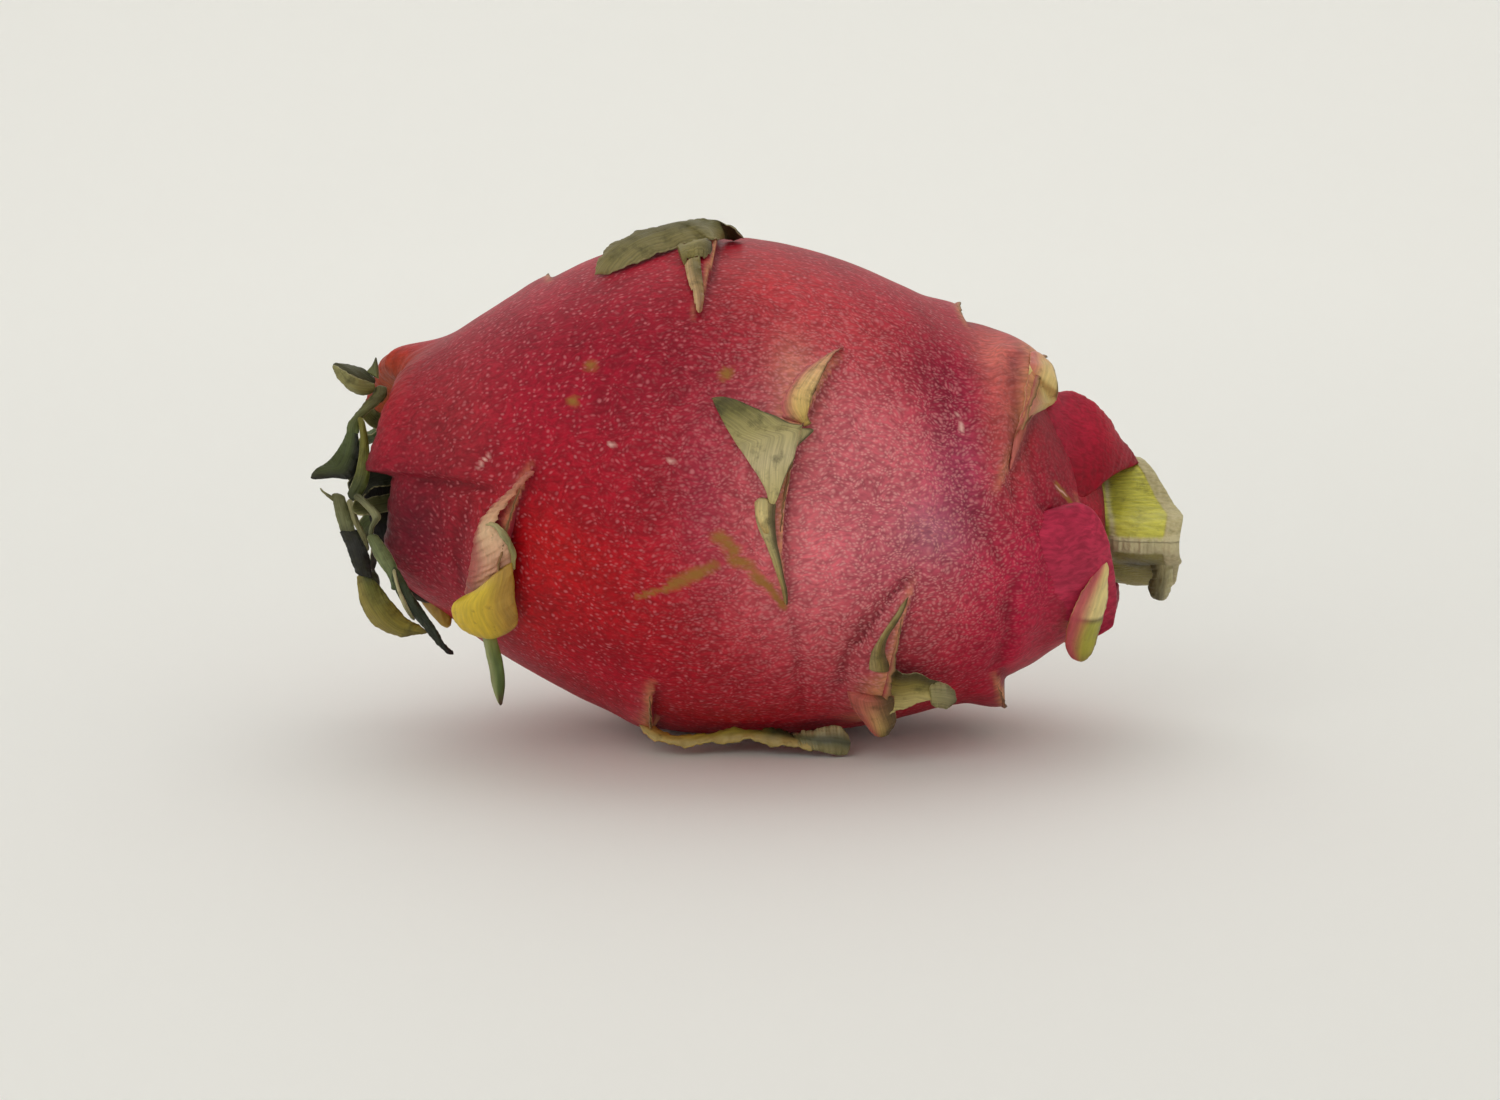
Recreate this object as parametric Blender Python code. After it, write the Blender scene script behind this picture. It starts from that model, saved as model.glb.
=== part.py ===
"""A whole dragon fruit (red pitaya) lying on its side, modelled in Blender.

+X points to the cut stem and -X to the navel with its crown of dried leaves.
+Z is up, and the fruit rests on a small flat spot at Z = 0.
All sizes below are in millimetres and are turned to metres where a mesh is made.
"""

from functools import partial

import bmesh
import bpy
import numpy as np

# Driving dimensions of the fruit, in millimetres
MM = 0.001
GIRTH_RADIUS = 41.0
AXIS_HEIGHT = 40.4
NAVEL_SLOPE = 0.03
STEM_SLOPE = 0.07
STEM_SAG = 0.0014
SIDE_FLATTENING = 0.98
FLOOR_Z = 0.0
FRAME_SHIFT = np.array([-1.044, 0.226, 0.0])

# The turned outline, from the navel's floor over the girth to the stem's socket: (x, radius)
SOCKET_RADIUS = 8.0
SOCKET_FLOOR_X = 52.0
OUTLINE = [
    (-45.0, 0.0),
    (-45.5, 7.0),
    (-48.5, 11.5),
    (-53.5, 13.2),
    (-56.0, 15.8),
    (-54.6, 19.4),
    (-49.0, 22.9),
    (-41.0, 28.3),
    (-32.0, 33.3),
    (-24.0, 37.0),
    (-15.0, 40.2),
    (-5.0, GIRTH_RADIUS),
    (8.0, 40.0),
    (20.0, 37.4),
    (31.0, 33.2),
    (41.0, 27.9),
    (50.0, 20.4),
    (56.0, 13.0),
    (58.2, 10.0),
    (56.6, SOCKET_RADIUS),
    (SOCKET_FLOOR_X, SOCKET_RADIUS - 0.2),
    (SOCKET_FLOOR_X, 3.5),
    (SOCKET_FLOOR_X, 0.0),
]

# How many rings and how many steps round each kind of piece has
BODY_GRID = (36, 54)
LIP_GRID = (10, 8)
BLADE_GRID = (9, 8)
LEAF_GRID = (12, 8)

# Every scale is a ridge across the skin whose crest leans towards the stem and ends in a thin lip.
# place: (x, angle round the axis: 0 faces the viewer, 90 is on top, in degrees)
# half_span: half the ridge's length; slope and bow: how far its upper end, and both ends, lie nearer the stem
# swell: how far the skin rises; run: how long the rise is; lip: the free margin's width; lean: its final angle
# blade: (kind, place, length, half width, turn), where a turn of 0 points to the navel and 90 up
FRONT_SCALES = {
    "middle": dict(
        place=(5.4, 13.0), half_span=21.0, slope=4.4, bow=5.0, swell=2.0, run=12.0, lip=1.8, lean=80,
        blade=("folded", (6.6, 14.6), 15.5, 6.0, 35.0),
    ),
    "top": dict(
        place=(-4.0, 82.0), half_span=25.0, slope=0.0, bow=-2.4, swell=1.6, run=12.0, lip=1.4, lean=85,
        blade=("folded", (-3.0, 77.0), 21.0, 5.2, -14.0),
    ),
    "lower_right": dict(
        place=(20.6, -38.0), half_span=18.0, slope=3.0, bow=2.5, swell=3.2, run=13.0, lip=2.4, lean=70,
        blade=("curled", (20.8, -44.0), 12.5, 5.0, 180.0),
    ),
    "bottom": dict(
        place=(-16.5, -60.0), half_span=13.0, slope=0.0, bow=2.0, swell=2.0, run=12.0, lip=1.2, lean=75,
        blade=None,
    ),
    "lower_left": dict(
        place=(-39.5, -16.0), half_span=15.0, slope=3.5, bow=3.0, swell=3.2, run=10.0, lip=2.6, lean=65,
        blade=None,
    ),
    "shoulder": dict(
        place=(45.2, 60.0), half_span=20.0, slope=4.2, bow=-2.4, swell=4.2, run=13.0, lip=2.2, lean=78,
        blade=None,
    ),
    "stem_front": dict(
        place=(54.0, -20.0), half_span=14.0, slope=0.5, bow=-2.0, swell=3.4, run=13.0, lip=2.4, lean=55,
        blade=None,
    ),
    "belly_right": dict(
        place=(41.0, -80.0), half_span=14.0, slope=0.0, bow=-1.5, swell=3.0, run=11.0, lip=1.4, lean=80,
        blade=None,
    ),
    "ridge_right": dict(
        place=(33.5, 112.0), half_span=19.0, slope=0.0, bow=2.0, swell=2.2, run=12.0, lip=1.8, lean=75,
        blade=None,
    ),
    "ridge_left": dict(
        place=(-34.0, 116.0), half_span=20.0, slope=0.0, bow=2.5, swell=2.0, run=10.0, lip=1.2, lean=80,
        blade=("folded", (-33.0, 124.0), 15.0, 5.2, 10.0),
    ),
}

# The scales of the far side follow the plant's spiral: two staggered rows, evenly spaced along the axis
BACK_ROWS = [(164.0, 48.0), (-142.0, 36.0)]
BACK_SPACING = 26.0
BACK_COUNT = 4
BACK_SCALE = dict(half_span=18.0, slope=2.5, bow=3.0, swell=2.4, run=12.0, lip=2.0, lean=74)
BACK_BLADES = [("curled", 11.0, 4.6, 172.0), ("folded", 16.0, 5.6, 20.0), ("folded", 14.0, 5.2, -18.0)]

# Hoods are the scales round the navel, whose margins stand over its rim: angle, half width, reach
NAVEL_HOODS = [
    (28.0, 25.0, 5.4), (-40.0, 18.0, 2.4), (105.0, 18.0, 1.5), (-90.0, 22.0, -4.0), (-142.0, 18.0, 2.5), (168.0, 20.0, 4.0),
]

# A blade's side view: shares of its length along it, and heights over the skin in millimetres
BLADE_SIDE = {
    "folded": [(0.0, -2.4), (0.01, 0.2), (0.07, 1.9), (0.22, 2.6), (0.5, 2.1), (0.8, 1.5), (1.0, 1.1)],
    "curled": [(0.0, -2.4), (0.03, 1.0), (0.18, 3.2), (0.45, 4.4), (0.75, 4.2), (1.0, 3.0)],
}
BLADE_THICKNESS = 1.2
LIP_THICKNESS = 1.2
ROOT_DEPTH = 2.2

# Dried tips that leave the fruit's skin: points of the path, half widths along it, and where the face looks.
# fold: how far the edges bend towards where the face looks, as a share of the half width
FRUIT_LEAVES = {
    "floor_ribbon": dict(
        path=[(-25, -12.5, 8.4), (-20, -17.0, 4.6), (-14, -18.8, 2.2), (-5, -18.6, 1.1), (6, -18.2, 1.0),
              (12, -17.8, 1.1), (17, -17.5, 2.0)],
        widths=[3.0, 3.6, 3.0, 2.2, 2.0, 2.6, 1.4],
        facing=(0, 0.2, 1),
        fold=0.25,
    ),
    "yellow_pouch": dict(
        path=[(-36.6, -28.0, 41.5), (-38.9, -31.8, 36.1), (-40.2, -32.3, 31.5), (-40.5, -31.0, 26.6),
              (-40.6, -27.5, 21.6), (-40.6, -24.5, 18.1), (-40.1, -23.5, 13.4), (-38.6, -23.5, 8.7)],
        widths=[1.6, 2.8, 4.4, 5.6, 5.2, 2.2, 1.4, 0.6],
        facing=(-0.2, -1, -0.1),
        fold=-0.6,
    ),
    "navel_bract": dict(
        path=[(-45.5, -4.0, 26.0), (-49.5, -6.0, 24.6), (-53.0, -6.5, 25.4), (-54.6, -6.0, 28.0)],
        widths=[4.0, 4.6, 4.0, 1.6],
        facing=(-0.4, -0.6, -0.8),
        fold=-0.4,
    ),
    "stem_top_lobe": dict(
        path=[(46, 1.5, 49.0), (52.6, 2.0, 51.6), (58, 3.0, 50.5), (61.2, 4.0, 47.5), (63.4, 5.0, 46.0)],
        widths=[9.0, 8.8, 6.8, 4.2, 1.4],
        facing=(0.35, -0.1, 0.95),
        fold=-0.3,
    ),
    "stem_under_lobe": dict(
        path=[(50, -2.0, 18.0), (55.5, -4.0, 16.6), (59.0, -5.5, 19.0), (60.3, -6.5, 22.4), (60.3, -7.0, 25.6)],
        widths=[6.0, 6.0, 5.2, 3.6, 1.2],
        facing=(0.8, -0.3, -0.5),
        fold=-0.3,
    ),
}

# The crown's dried leaves, from the navel outwards
CROWN_LEAVES = {
    "stalk": dict(
        path=[(-47.5, -0.8, 46.0), (-54.0, -2.0, 48.0), (-59.8, -3.8, 51.8), (-62.4, -5.4, 55.0)],
        widths=[2.0, 1.8, 1.6, 2.0],
        facing=(-0.5, -1, 0.5),
        fold=0.5,
    ),
    "cup": dict(
        path=[(-61.8, -5.0, 53.4), (-62.8, -5.4, 56.6), (-64.4, -6.0, 58.9), (-66.5, -6.5, 60.8)],
        widths=[1.6, 2.2, 2.9, 0.8],
        facing=(-0.3, -1, 0.9),
        fold=0.8,
    ),
    "spike": dict(
        path=[(-62.2, -5.0, 54.0), (-62.0, -4.6, 58.4), (-61.5, -3.9, 61.7)],
        widths=[1.5, 1.6, 0.6],
        facing=(-0.4, -1, 0.0),
        fold=0.5,
    ),
    "strand": dict(
        path=[(-61.0, -4.6, 54.4), (-62.2, -7.5, 53.2), (-63.3, -9.4, 51.0), (-63.5, -10.5, 48.0),
              (-63.5, -11.0, 44.7), (-64.0, -10.5, 39.9)],
        widths=[1.6, 1.6, 2.6, 3.4, 3.8, 1.6],
        facing=(-0.5, -1, 0.2),
        fold=0.5,
    ),
    "strand_tip": dict(
        path=[(-62.6, -9.2, 48.6), (-64.9, -10.0, 46.4), (-67.1, -11.0, 44.7), (-70.1, -11.5, 43.5)],
        widths=[2.0, 3.0, 2.0, 0.8],
        facing=(-0.2, -1, 0.5),
        fold=0.4,
    ),
    "left_leaf": dict(
        path=[(-47.5, -2.6, 43.4), (-56.0, -6.6, 43.8), (-63.6, -9.8, 41.8), (-65.6, -11.0, 37.4),
              (-64.3, -11.5, 34.2), (-63.4, -12.0, 30.0), (-61.0, -12.8, 25.8), (-56.4, -13.4, 22.4),
              (-51.1, -12.0, 18.6)],
        widths=[2.0, 2.2, 2.4, 2.0, 1.6, 2.4, 4.6, 4.8, 1.0],
        facing=(-0.5, -1, 0.1),
        fold=0.4,
    ),
    "right_leaf": dict(
        path=[(-47.5, -3.0, 39.0), (-55.5, -6.6, 39.4), (-63.8, -13.2, 40.0), (-61.8, -17.2, 35.2),
              (-58.0, -18.9, 30.4), (-54.6, -19.8, 26.2), (-51.8, -19.8, 22.5), (-49.0, -19.4, 18.8),
              (-46.7, -17.5, 15.7)],
        widths=[2.0, 2.0, 1.8, 1.6, 1.8, 2.6, 3.2, 2.6, 0.8],
        facing=(-0.3, -1, 0.3),
        fold=0.5,
    ),
    "far_high": dict(
        path=[(-47.5, 2.0, 45.6), (-55.0, 4.4, 47.2), (-62.0, 7.2, 47.0), (-65.5, 11.6, 43.0), (-65.0, 13.0, 36.0)],
        widths=[2.2, 2.6, 3.4, 3.0, 0.8],
        facing=(-1, 0.5, 0.3),
        fold=0.6,
    ),
    "far_low": dict(
        path=[(-47.5, 2.6, 41.6), (-55.0, 5.6, 38.0), (-61.5, 8.8, 34.0), (-64.5, 10.5, 27.5), (-62.0, 12.0, 21.5)],
        widths=[2.2, 2.4, 3.2, 2.6, 0.8],
        facing=(-1, 0.5, 0.0),
        fold=0.6,
    ),
    "low": dict(
        path=[(-47.5, 0.0, 41.0), (-54.6, 0.6, 36.6), (-60.0, 1.2, 32.0), (-62.0, 2.0, 25.6)],
        widths=[2.2, 2.6, 2.6, 0.8],
        facing=(-1, 0.1, 0.3),
        fold=0.6,
    ),
}

# The cut stem: its outline along its own axis as (x, rib radius), and where its topmost rib is
STEM_OUTLINE = [
    (52.9, 0.0),
    (52.9, 5.2),
    (54.0, 6.2),
    (58.0, 6.3),
    (59.4, 8.4),
    (61.0, 10.6),
    (64.0, 12.0),
    (68.5, 12.1),
    (72.3, 11.6),
    (71.6, 8.6),
    (70.6, 0.0),
]
STEM_AXIS_Z = 33.2
STEM_RIB_ANGLE = 116.0
STEM_FACE_SHARE = 0.5
STEM_CUT_SLANT = 6.5


def curve_through(points, count, dense_steps=24):
    """Count points, evenly spaced, on a smooth (Catmull-Rom) curve through the given ones."""
    knots = np.array(points, float)
    padded = np.vstack([2 * knots[0] - knots[1], knots, 2 * knots[-1] - knots[-2]])
    share = np.linspace(0, 1, dense_steps, endpoint=False)[:, None]
    spans = []
    for a, b, c, d in zip(padded, padded[1:], padded[2:], padded[3:]):
        bend = (2 * a - 5 * b + 4 * c - d) * share**2 + (3 * b - a - 3 * c + d) * share**3
        spans.append(b + 0.5 * ((c - a) * share + bend))
    dense = np.vstack([*spans, knots[-1:]])
    walked = np.concatenate([[0], np.cumsum(np.linalg.norm(np.diff(dense, axis=0), axis=1))])
    stops = np.linspace(0, walked[-1], count)
    return np.stack([np.interp(stops, walked, column) for column in dense.T], axis=1)


def smooth(value):
    """Rises from 0 to 1 with level ends, as value goes from 0 to 1."""
    held = np.clip(value, 0, 1)
    return held * held * (3 - 2 * held)


FINE_OUTLINE = curve_through(OUTLINE, 900)
RIM = int(np.argmin(FINE_OUTLINE[:, 0]))
SHOULDER = int(np.argmax(FINE_OUTLINE[:, 0]))
OUTER_SKIN = FINE_OUTLINE[RIM : SHOULDER + 1]


def radius_at(x):
    """The turned outline's radius on the outer skin."""
    return np.interp(x, OUTER_SKIN[:, 0], OUTER_SKIN[:, 1])


def angle_between(angle, other):
    """The signed difference of two angles in radians, from -pi to pi."""
    return (angle - other + np.pi) % (2 * np.pi) - np.pi


def all_scales():
    """The front scales and the staggered rows of the far side, each with its own name."""
    scales = dict(FRONT_SCALES)
    for row, (angle, first_x) in enumerate(BACK_ROWS):
        for step in range(BACK_COUNT):
            place = (first_x - BACK_SPACING * step, angle + (5.0 if step % 2 else -5.0))
            kind, length, half_width, turn = BACK_BLADES[(row + step) % len(BACK_BLADES)]
            scale = dict(BACK_SCALE, place=place, blade=(kind, place, length, half_width, turn))
            scale["half_span"] *= 0.8 if step in (0, BACK_COUNT - 1) else 1.0
            scales[f"back_{row}_{step}"] = scale
    return scales


SCALES = all_scales()


def crest_x(scale, along):
    """Where the crest line runs, at a share of the ridge's half length."""
    return scale["place"][0] + scale["slope"] * along + scale["bow"] * along**2


def relief(x, angle):
    """(rise, shift): how far the skin swells outwards, and moves towards the stem, at the scales."""
    rise, shift = np.zeros(np.shape(x)), np.zeros(np.shape(x))
    for scale in SCALES.values():
        place_x, place_angle = scale["place"]
        along = angle_between(angle, np.radians(place_angle)) * radius_at(place_x) / scale["half_span"]
        across = x - crest_x(scale, along)
        window = np.clip(1 - along**2, 0, 1) ** 1.5
        crest = np.where(across < 0, smooth(1 + across / scale["run"]), 1 - smooth(across / 2.5))
        groove = 0.5 * np.exp(-(((across - 3.5) / 3.0) ** 2))
        rise = rise + window * (scale["swell"] * crest - groove)
        shift = shift + window * 1.3 * np.exp(-((across / 2.2) ** 2))
    return rise, shift


def place_on_axis(x, radius, angle):
    """World points, in millimetres, for a distance along the sagging axis, a radius and an angle round it."""
    ahead = np.maximum(x, 0)
    axis_z = AXIS_HEIGHT - NAVEL_SLOPE * (x - ahead) - STEM_SLOPE * ahead - STEM_SAG * ahead**2
    y = -radius * np.cos(angle) * SIDE_FLATTENING
    z = axis_z + radius * np.sin(angle)
    return np.stack([x, y, z], axis=-1)


def body_points(station, angle):
    """The fruit's surface: station runs from 0 in the navel to 1 in the stem's socket."""
    place = station * (len(FINE_OUTLINE) - 1)
    numbers = np.arange(len(FINE_OUTLINE))
    x = np.interp(place, numbers, FINE_OUTLINE[:, 0])
    radius = np.interp(place, numbers, FINE_OUTLINE[:, 1])
    outer = smooth((place - RIM) / 60) * smooth((SHOULDER - place) / 40)
    rise, shift = relief(x, angle)
    rim = np.exp(-(((place - RIM) / 45) ** 2))
    reach = np.zeros_like(x)
    for degrees, half_width, hood_reach in NAVEL_HOODS:
        turn = angle_between(angle, np.radians(degrees)) * 19.0 / half_width
        reach += hood_reach * np.clip(1 - turn**2, 0, 1) ** 1.2
    x = x + shift * outer - reach * rim
    radius = radius + rise * outer - 0.25 * reach * rim
    points = place_on_axis(x, radius, angle)
    points[..., 2] = np.maximum(points[..., 2], FLOOR_Z)
    return points


def ends_closed(station):
    """1 along a piece, falling to 0 at its two ends, so that a ball shaped by it stays closed."""
    return np.clip(3 * np.sin(np.pi * np.clip(station, 0, 1)), 0, 1) ** 0.5


def flat_section(angle):
    """(wide, thick): a flattened round section, with edges that stay nearly as thick as its middle."""
    return np.cos(angle), np.sign(np.sin(angle)) * np.abs(np.sin(angle)) ** 0.6


def lip_points(scale, station, angle):
    """A ridge's free margin: a flat band that runs along the crest, leaves the skin and leans over."""
    along = 0.98 * (1 - 2 * station)
    place_x, place_angle = scale["place"]
    turn = np.radians(place_angle) + along * scale["half_span"] / radius_at(place_x)
    x = crest_x(scale, along)
    rise, shift = relief(x, turn)
    taper = np.sqrt(np.clip(1 - along**2, 0, 1)) * ends_closed(station)
    wide, thick = flat_section(angle)
    across = (1 + wide) / 2
    lean = np.radians(scale["lean"]) * across
    height = ROOT_DEPTH * (across - 1) + scale["lip"] * across * np.cos(lean / 2)
    reach = scale["lip"] * across * np.sin(lean / 2) - 0.6
    height = height * taper - 1.2 * (1 - taper) + thick * taper * LIP_THICKNESS / 2 * np.sin(lean)
    reach = reach * taper - thick * taper * LIP_THICKNESS / 2 * np.cos(lean)
    steepness = (radius_at(x + 1) - radius_at(x - 1)) / 2
    size = np.sqrt(1 + steepness**2)
    x_out = x + shift + (reach - height * steepness) / size
    points = place_on_axis(x_out, radius_at(x) + rise + (height + reach * steepness) / size, turn)
    return points


def blade_points(scale, station, angle):
    """A scale's dried tip: a flat tongue that rises out of the ridge and ends in a point over the skin."""
    kind, (place_x, place_angle), length, half_width, turn = scale["blade"]
    side_view = curve_through([(share * length, height) for share, height in BLADE_SIDE[kind]], 60)
    heading = np.gradient(side_view, axis=0)
    heading /= np.linalg.norm(heading, axis=1)[:, None]
    shares = np.linspace(0, 1, 60)
    run, height, heading_run, heading_height = (
        np.interp(station, shares, column) for column in np.hstack([side_view, heading]).T
    )
    taper = ends_closed(station)
    wide, thick = flat_section(angle)
    half_thick = thick * taper * BLADE_THICKNESS / 2
    run = run - heading_height * half_thick
    cupped = 0.7 * wide**2 * taper * np.sin(np.pi * np.clip(station * 1.2 - 0.2, 0, 1))
    height = height + heading_run * half_thick - cupped
    width = wide * taper * half_width * (1.0 - 0.12 * smooth(station) - 0.7 * station**1.8)
    ahead, aside = np.cos(np.radians(turn)), np.sin(np.radians(turn))
    x = place_x - run * ahead + width * aside
    around = np.radians(place_angle) + (run * aside + width * ahead) / radius_at(place_x)
    rise = scale["swell"] * (1 - 0.7 * smooth(station))
    return place_on_axis(x, radius_at(x) + rise + height, around)


def leaf_points(leaf, station, angle):
    """A free dried leaf: a flat band along its path, folded a little along its midrib."""
    path = curve_through(leaf["path"], 60)
    shares = np.linspace(0, 1, 60)
    tangent = np.gradient(path, axis=0)
    tangent /= np.linalg.norm(tangent, axis=1)[:, None]
    side = np.cross(tangent, leaf["facing"])
    side /= np.linalg.norm(side, axis=1)[:, None]
    out = np.cross(side, tangent)
    taper = ends_closed(station)
    wide, thick = flat_section(angle)
    half = taper * np.interp(station, np.linspace(0, 1, len(leaf["widths"])), leaf["widths"])
    raised = leaf["fold"] * half * wide**2 + thick * taper * BLADE_THICKNESS / 2

    def along_path(rows):
        return np.stack([np.interp(station, shares, column) for column in rows.T], axis=-1)

    points = along_path(path)
    return points + along_path(side) * (half * wide)[..., None] + along_path(out) * raised[..., None]


def stem_points(station, angle):
    """The three-ribbed stem: hollow faces between the ribs, round in the socket, and cut off at a slant."""
    outline = curve_through(STEM_OUTLINE, 200)
    x = np.interp(station, np.linspace(0, 1, 200), outline[:, 0])
    radius = np.interp(station, np.linspace(0, 1, 200), outline[:, 1])
    turn = angle - np.radians(STEM_RIB_ANGLE)
    rib = np.abs(np.cos(1.5 * turn)) ** 2.2
    radius = radius * (1 - smooth((x - 57.4) / 3.0) * (1 - STEM_FACE_SHARE) * (1 - rib))
    x = x - STEM_CUT_SLANT * smooth((x - 61.0) / 10.0) * np.maximum(np.cos(turn), 0) * radius / 12.0
    z = STEM_AXIS_Z + radius * np.sin(angle)
    return np.stack([x, -radius * np.cos(angle), z], axis=-1)


def crown_base_points(station, angle):
    """The little disc in the navel that the crown's leaves grow from."""
    outline = curve_through([(-49.8, 0), (-49.6, 4.6), (-47.8, 6.4), (-46.2, 5.4), (-46.0, 0)], 60)
    x = np.interp(station, np.linspace(0, 1, 60), outline[:, 0])
    return place_on_axis(x, np.interp(station, np.linspace(0, 1, 60), outline[:, 1]), angle)


def mapped_ball(name, grid, place, collection):
    """A ball primitive whose every point goes where place(station, angle) says; grid is (rings, round steps)."""
    shape = bmesh.new()
    bmesh.ops.create_uvsphere(shape, u_segments=grid[1], v_segments=grid[0], radius=1.0)
    ball = np.array([vertex.co[:] for vertex in shape.verts])
    station = np.arccos(np.clip(-ball[:, 2], -1, 1)) / np.pi
    points = place(station, np.arctan2(ball[:, 1], ball[:, 0])) + FRAME_SHIFT
    for vertex, point in zip(shape.verts, points * MM):
        vertex.co = point
    if shape.calc_volume(signed=True) < 0:
        bmesh.ops.reverse_faces(shape, faces=shape.faces)
    mesh = bpy.data.meshes.new(name)
    shape.to_mesh(mesh)
    shape.free()
    new = bpy.data.objects.new(name, mesh)
    collection.objects.link(new)
    return new


def new_collection(name):
    made = bpy.data.collections.new(name)
    bpy.context.scene.collection.children.link(made)
    return made


def fuse(main_piece, grown, solver):
    """Joins every object of a collection to the piece that it grows from, and removes the collection."""
    union = main_piece.modifiers.new("grown_together", "BOOLEAN")
    union.operation = "UNION"
    union.operand_type = "COLLECTION"
    union.collection = grown
    union.solver = solver
    graph = bpy.context.evaluated_depsgraph_get()
    joined = bpy.data.meshes.new_from_object(main_piece.evaluated_get(graph))
    main_piece.modifiers.clear()
    main_piece.data = joined
    for piece in list(grown.objects):
        bpy.data.objects.remove(piece)
    bpy.data.collections.remove(grown)
    keep_outer_skin(main_piece)


def keep_outer_skin(piece):
    """Removes the small shells round any pocket that a leaf has closed off against the skin."""
    shape = bmesh.new()
    shape.from_mesh(piece.data)
    unseen = set(shape.faces)
    shells = []
    while unseen:
        shell, front = set(), {next(iter(unseen))}
        while front:
            shell |= front
            front = {face for known in front for edge in known.edges for face in edge.link_faces} - shell
        unseen -= shell
        shells.append(shell)
    outer = max(shells, key=len)
    bmesh.ops.delete(shape, geom=[face for face in shape.faces if face not in outer], context="FACES")
    shape.to_mesh(piece.data)
    shape.free()


def finish(piece, colour, roughness):
    """A plain Principled material in the piece's main colour, on a smooth-shaded surface."""
    material = bpy.data.materials.new(piece.name)
    material.use_nodes = True
    shader = material.node_tree.nodes["Principled BSDF"]
    shader.inputs["Base Color"].default_value = (*colour, 1.0)
    shader.inputs["Roughness"].default_value = roughness
    shader.inputs["Metallic"].default_value = 0.0
    piece.data.materials.clear()
    piece.data.materials.append(material)
    piece.data.shade_smooth()


def build_fruit(parts):
    """The red fruit with its scales: ridges in the skin, and lips and dried tips fused to it."""
    fruit = mapped_ball("fruit", BODY_GRID, body_points, parts)
    grown = new_collection("scales")
    for name, scale in SCALES.items():
        mapped_ball("lip_" + name, LIP_GRID, partial(lip_points, scale), grown)
        if scale["blade"]:
            mapped_ball("blade_" + name, BLADE_GRID, partial(blade_points, scale), grown)
    for name, leaf in FRUIT_LEAVES.items():
        mapped_ball(name, LEAF_GRID, partial(leaf_points, leaf), grown)
    fuse(fruit, grown, "EXACT")
    finish(fruit, (0.30, 0.012, 0.035), 0.42)


def build_crown(parts):
    """The tuft of dried leaves in and over the navel."""
    crown = mapped_ball("crown", (6, 16), crown_base_points, parts)
    grown = new_collection("crown_leaves")
    for name, leaf in CROWN_LEAVES.items():
        mapped_ball(name, LEAF_GRID, partial(leaf_points, leaf), grown)
    fuse(crown, grown, "MANIFOLD")
    finish(crown, (0.10, 0.12, 0.035), 0.7)


def build_stem(parts):
    """The cut piece of cactus stem in its socket."""
    stem = mapped_ball("stem", (15, 30), stem_points, parts)
    finish(stem, (0.36, 0.34, 0.10), 0.6)


def main():
    for old in list(bpy.data.objects):
        bpy.data.objects.remove(old)
    parts = new_collection("dragon_fruit")
    build_fruit(parts)
    build_crown(parts)
    build_stem(parts)


main()
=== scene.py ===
"""A whole dragon fruit (red pitaya) lying on its side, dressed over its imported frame.

+X points to the cut stem, -X to the navel with its crown of dried leaves, and +Z is up.
Tables are in millimetres, before FRAME_SHIFT, as the solids were drawn; meshes are in metres.
"""

import bpy
import numpy as np
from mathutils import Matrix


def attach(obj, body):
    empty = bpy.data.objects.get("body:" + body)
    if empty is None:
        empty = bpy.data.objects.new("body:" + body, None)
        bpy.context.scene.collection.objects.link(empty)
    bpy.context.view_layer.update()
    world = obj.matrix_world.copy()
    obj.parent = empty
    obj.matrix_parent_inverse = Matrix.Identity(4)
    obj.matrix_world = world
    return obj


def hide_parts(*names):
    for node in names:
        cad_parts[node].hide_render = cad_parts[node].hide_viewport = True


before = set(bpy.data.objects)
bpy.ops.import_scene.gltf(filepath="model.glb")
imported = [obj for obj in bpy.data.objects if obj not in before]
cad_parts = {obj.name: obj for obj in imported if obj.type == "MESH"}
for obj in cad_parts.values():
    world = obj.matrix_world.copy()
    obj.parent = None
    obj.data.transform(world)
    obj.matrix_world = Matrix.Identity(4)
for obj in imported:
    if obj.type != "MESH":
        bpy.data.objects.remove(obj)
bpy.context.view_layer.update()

# The camera: half a metre in front of the fruit and ten degrees above it, where the photograph was taken.
MM = 0.001
FRAME_SHIFT = np.array([-1.044, 0.226, 0.0])
EYE = np.array([-0.344, -492.178, 116.524])
PHOTO_WIDE, PHOTO_HIGH, TILT = 1500, 1100, np.radians(10)
lens = bpy.data.cameras.new("camera")
lens.sensor_width, lens.lens = 36.0, 72.73
FOCAL = PHOTO_WIDE * lens.lens / lens.sensor_width
camera = bpy.data.objects.new("camera", lens)
camera.location = EYE * MM
camera.rotation_euler = (np.pi / 2 - TILT, 0, 0)
bpy.context.scene.collection.objects.link(camera)
bpy.context.scene.camera = camera


def at_pixel(column, row, y):
    """The place y millimetres behind the fruit's axis that the photograph shows at a pixel."""
    right, up = (column - PHOTO_WIDE / 2) / FOCAL, (PHOTO_HIGH / 2 - row) / FOCAL
    sight = np.array([right, np.cos(TILT) + up * np.sin(TILT), up * np.cos(TILT) - np.sin(TILT)])
    return EYE + sight * (y + FRAME_SHIFT[1] - EYE[1]) / sight[1] - FRAME_SHIFT


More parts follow.
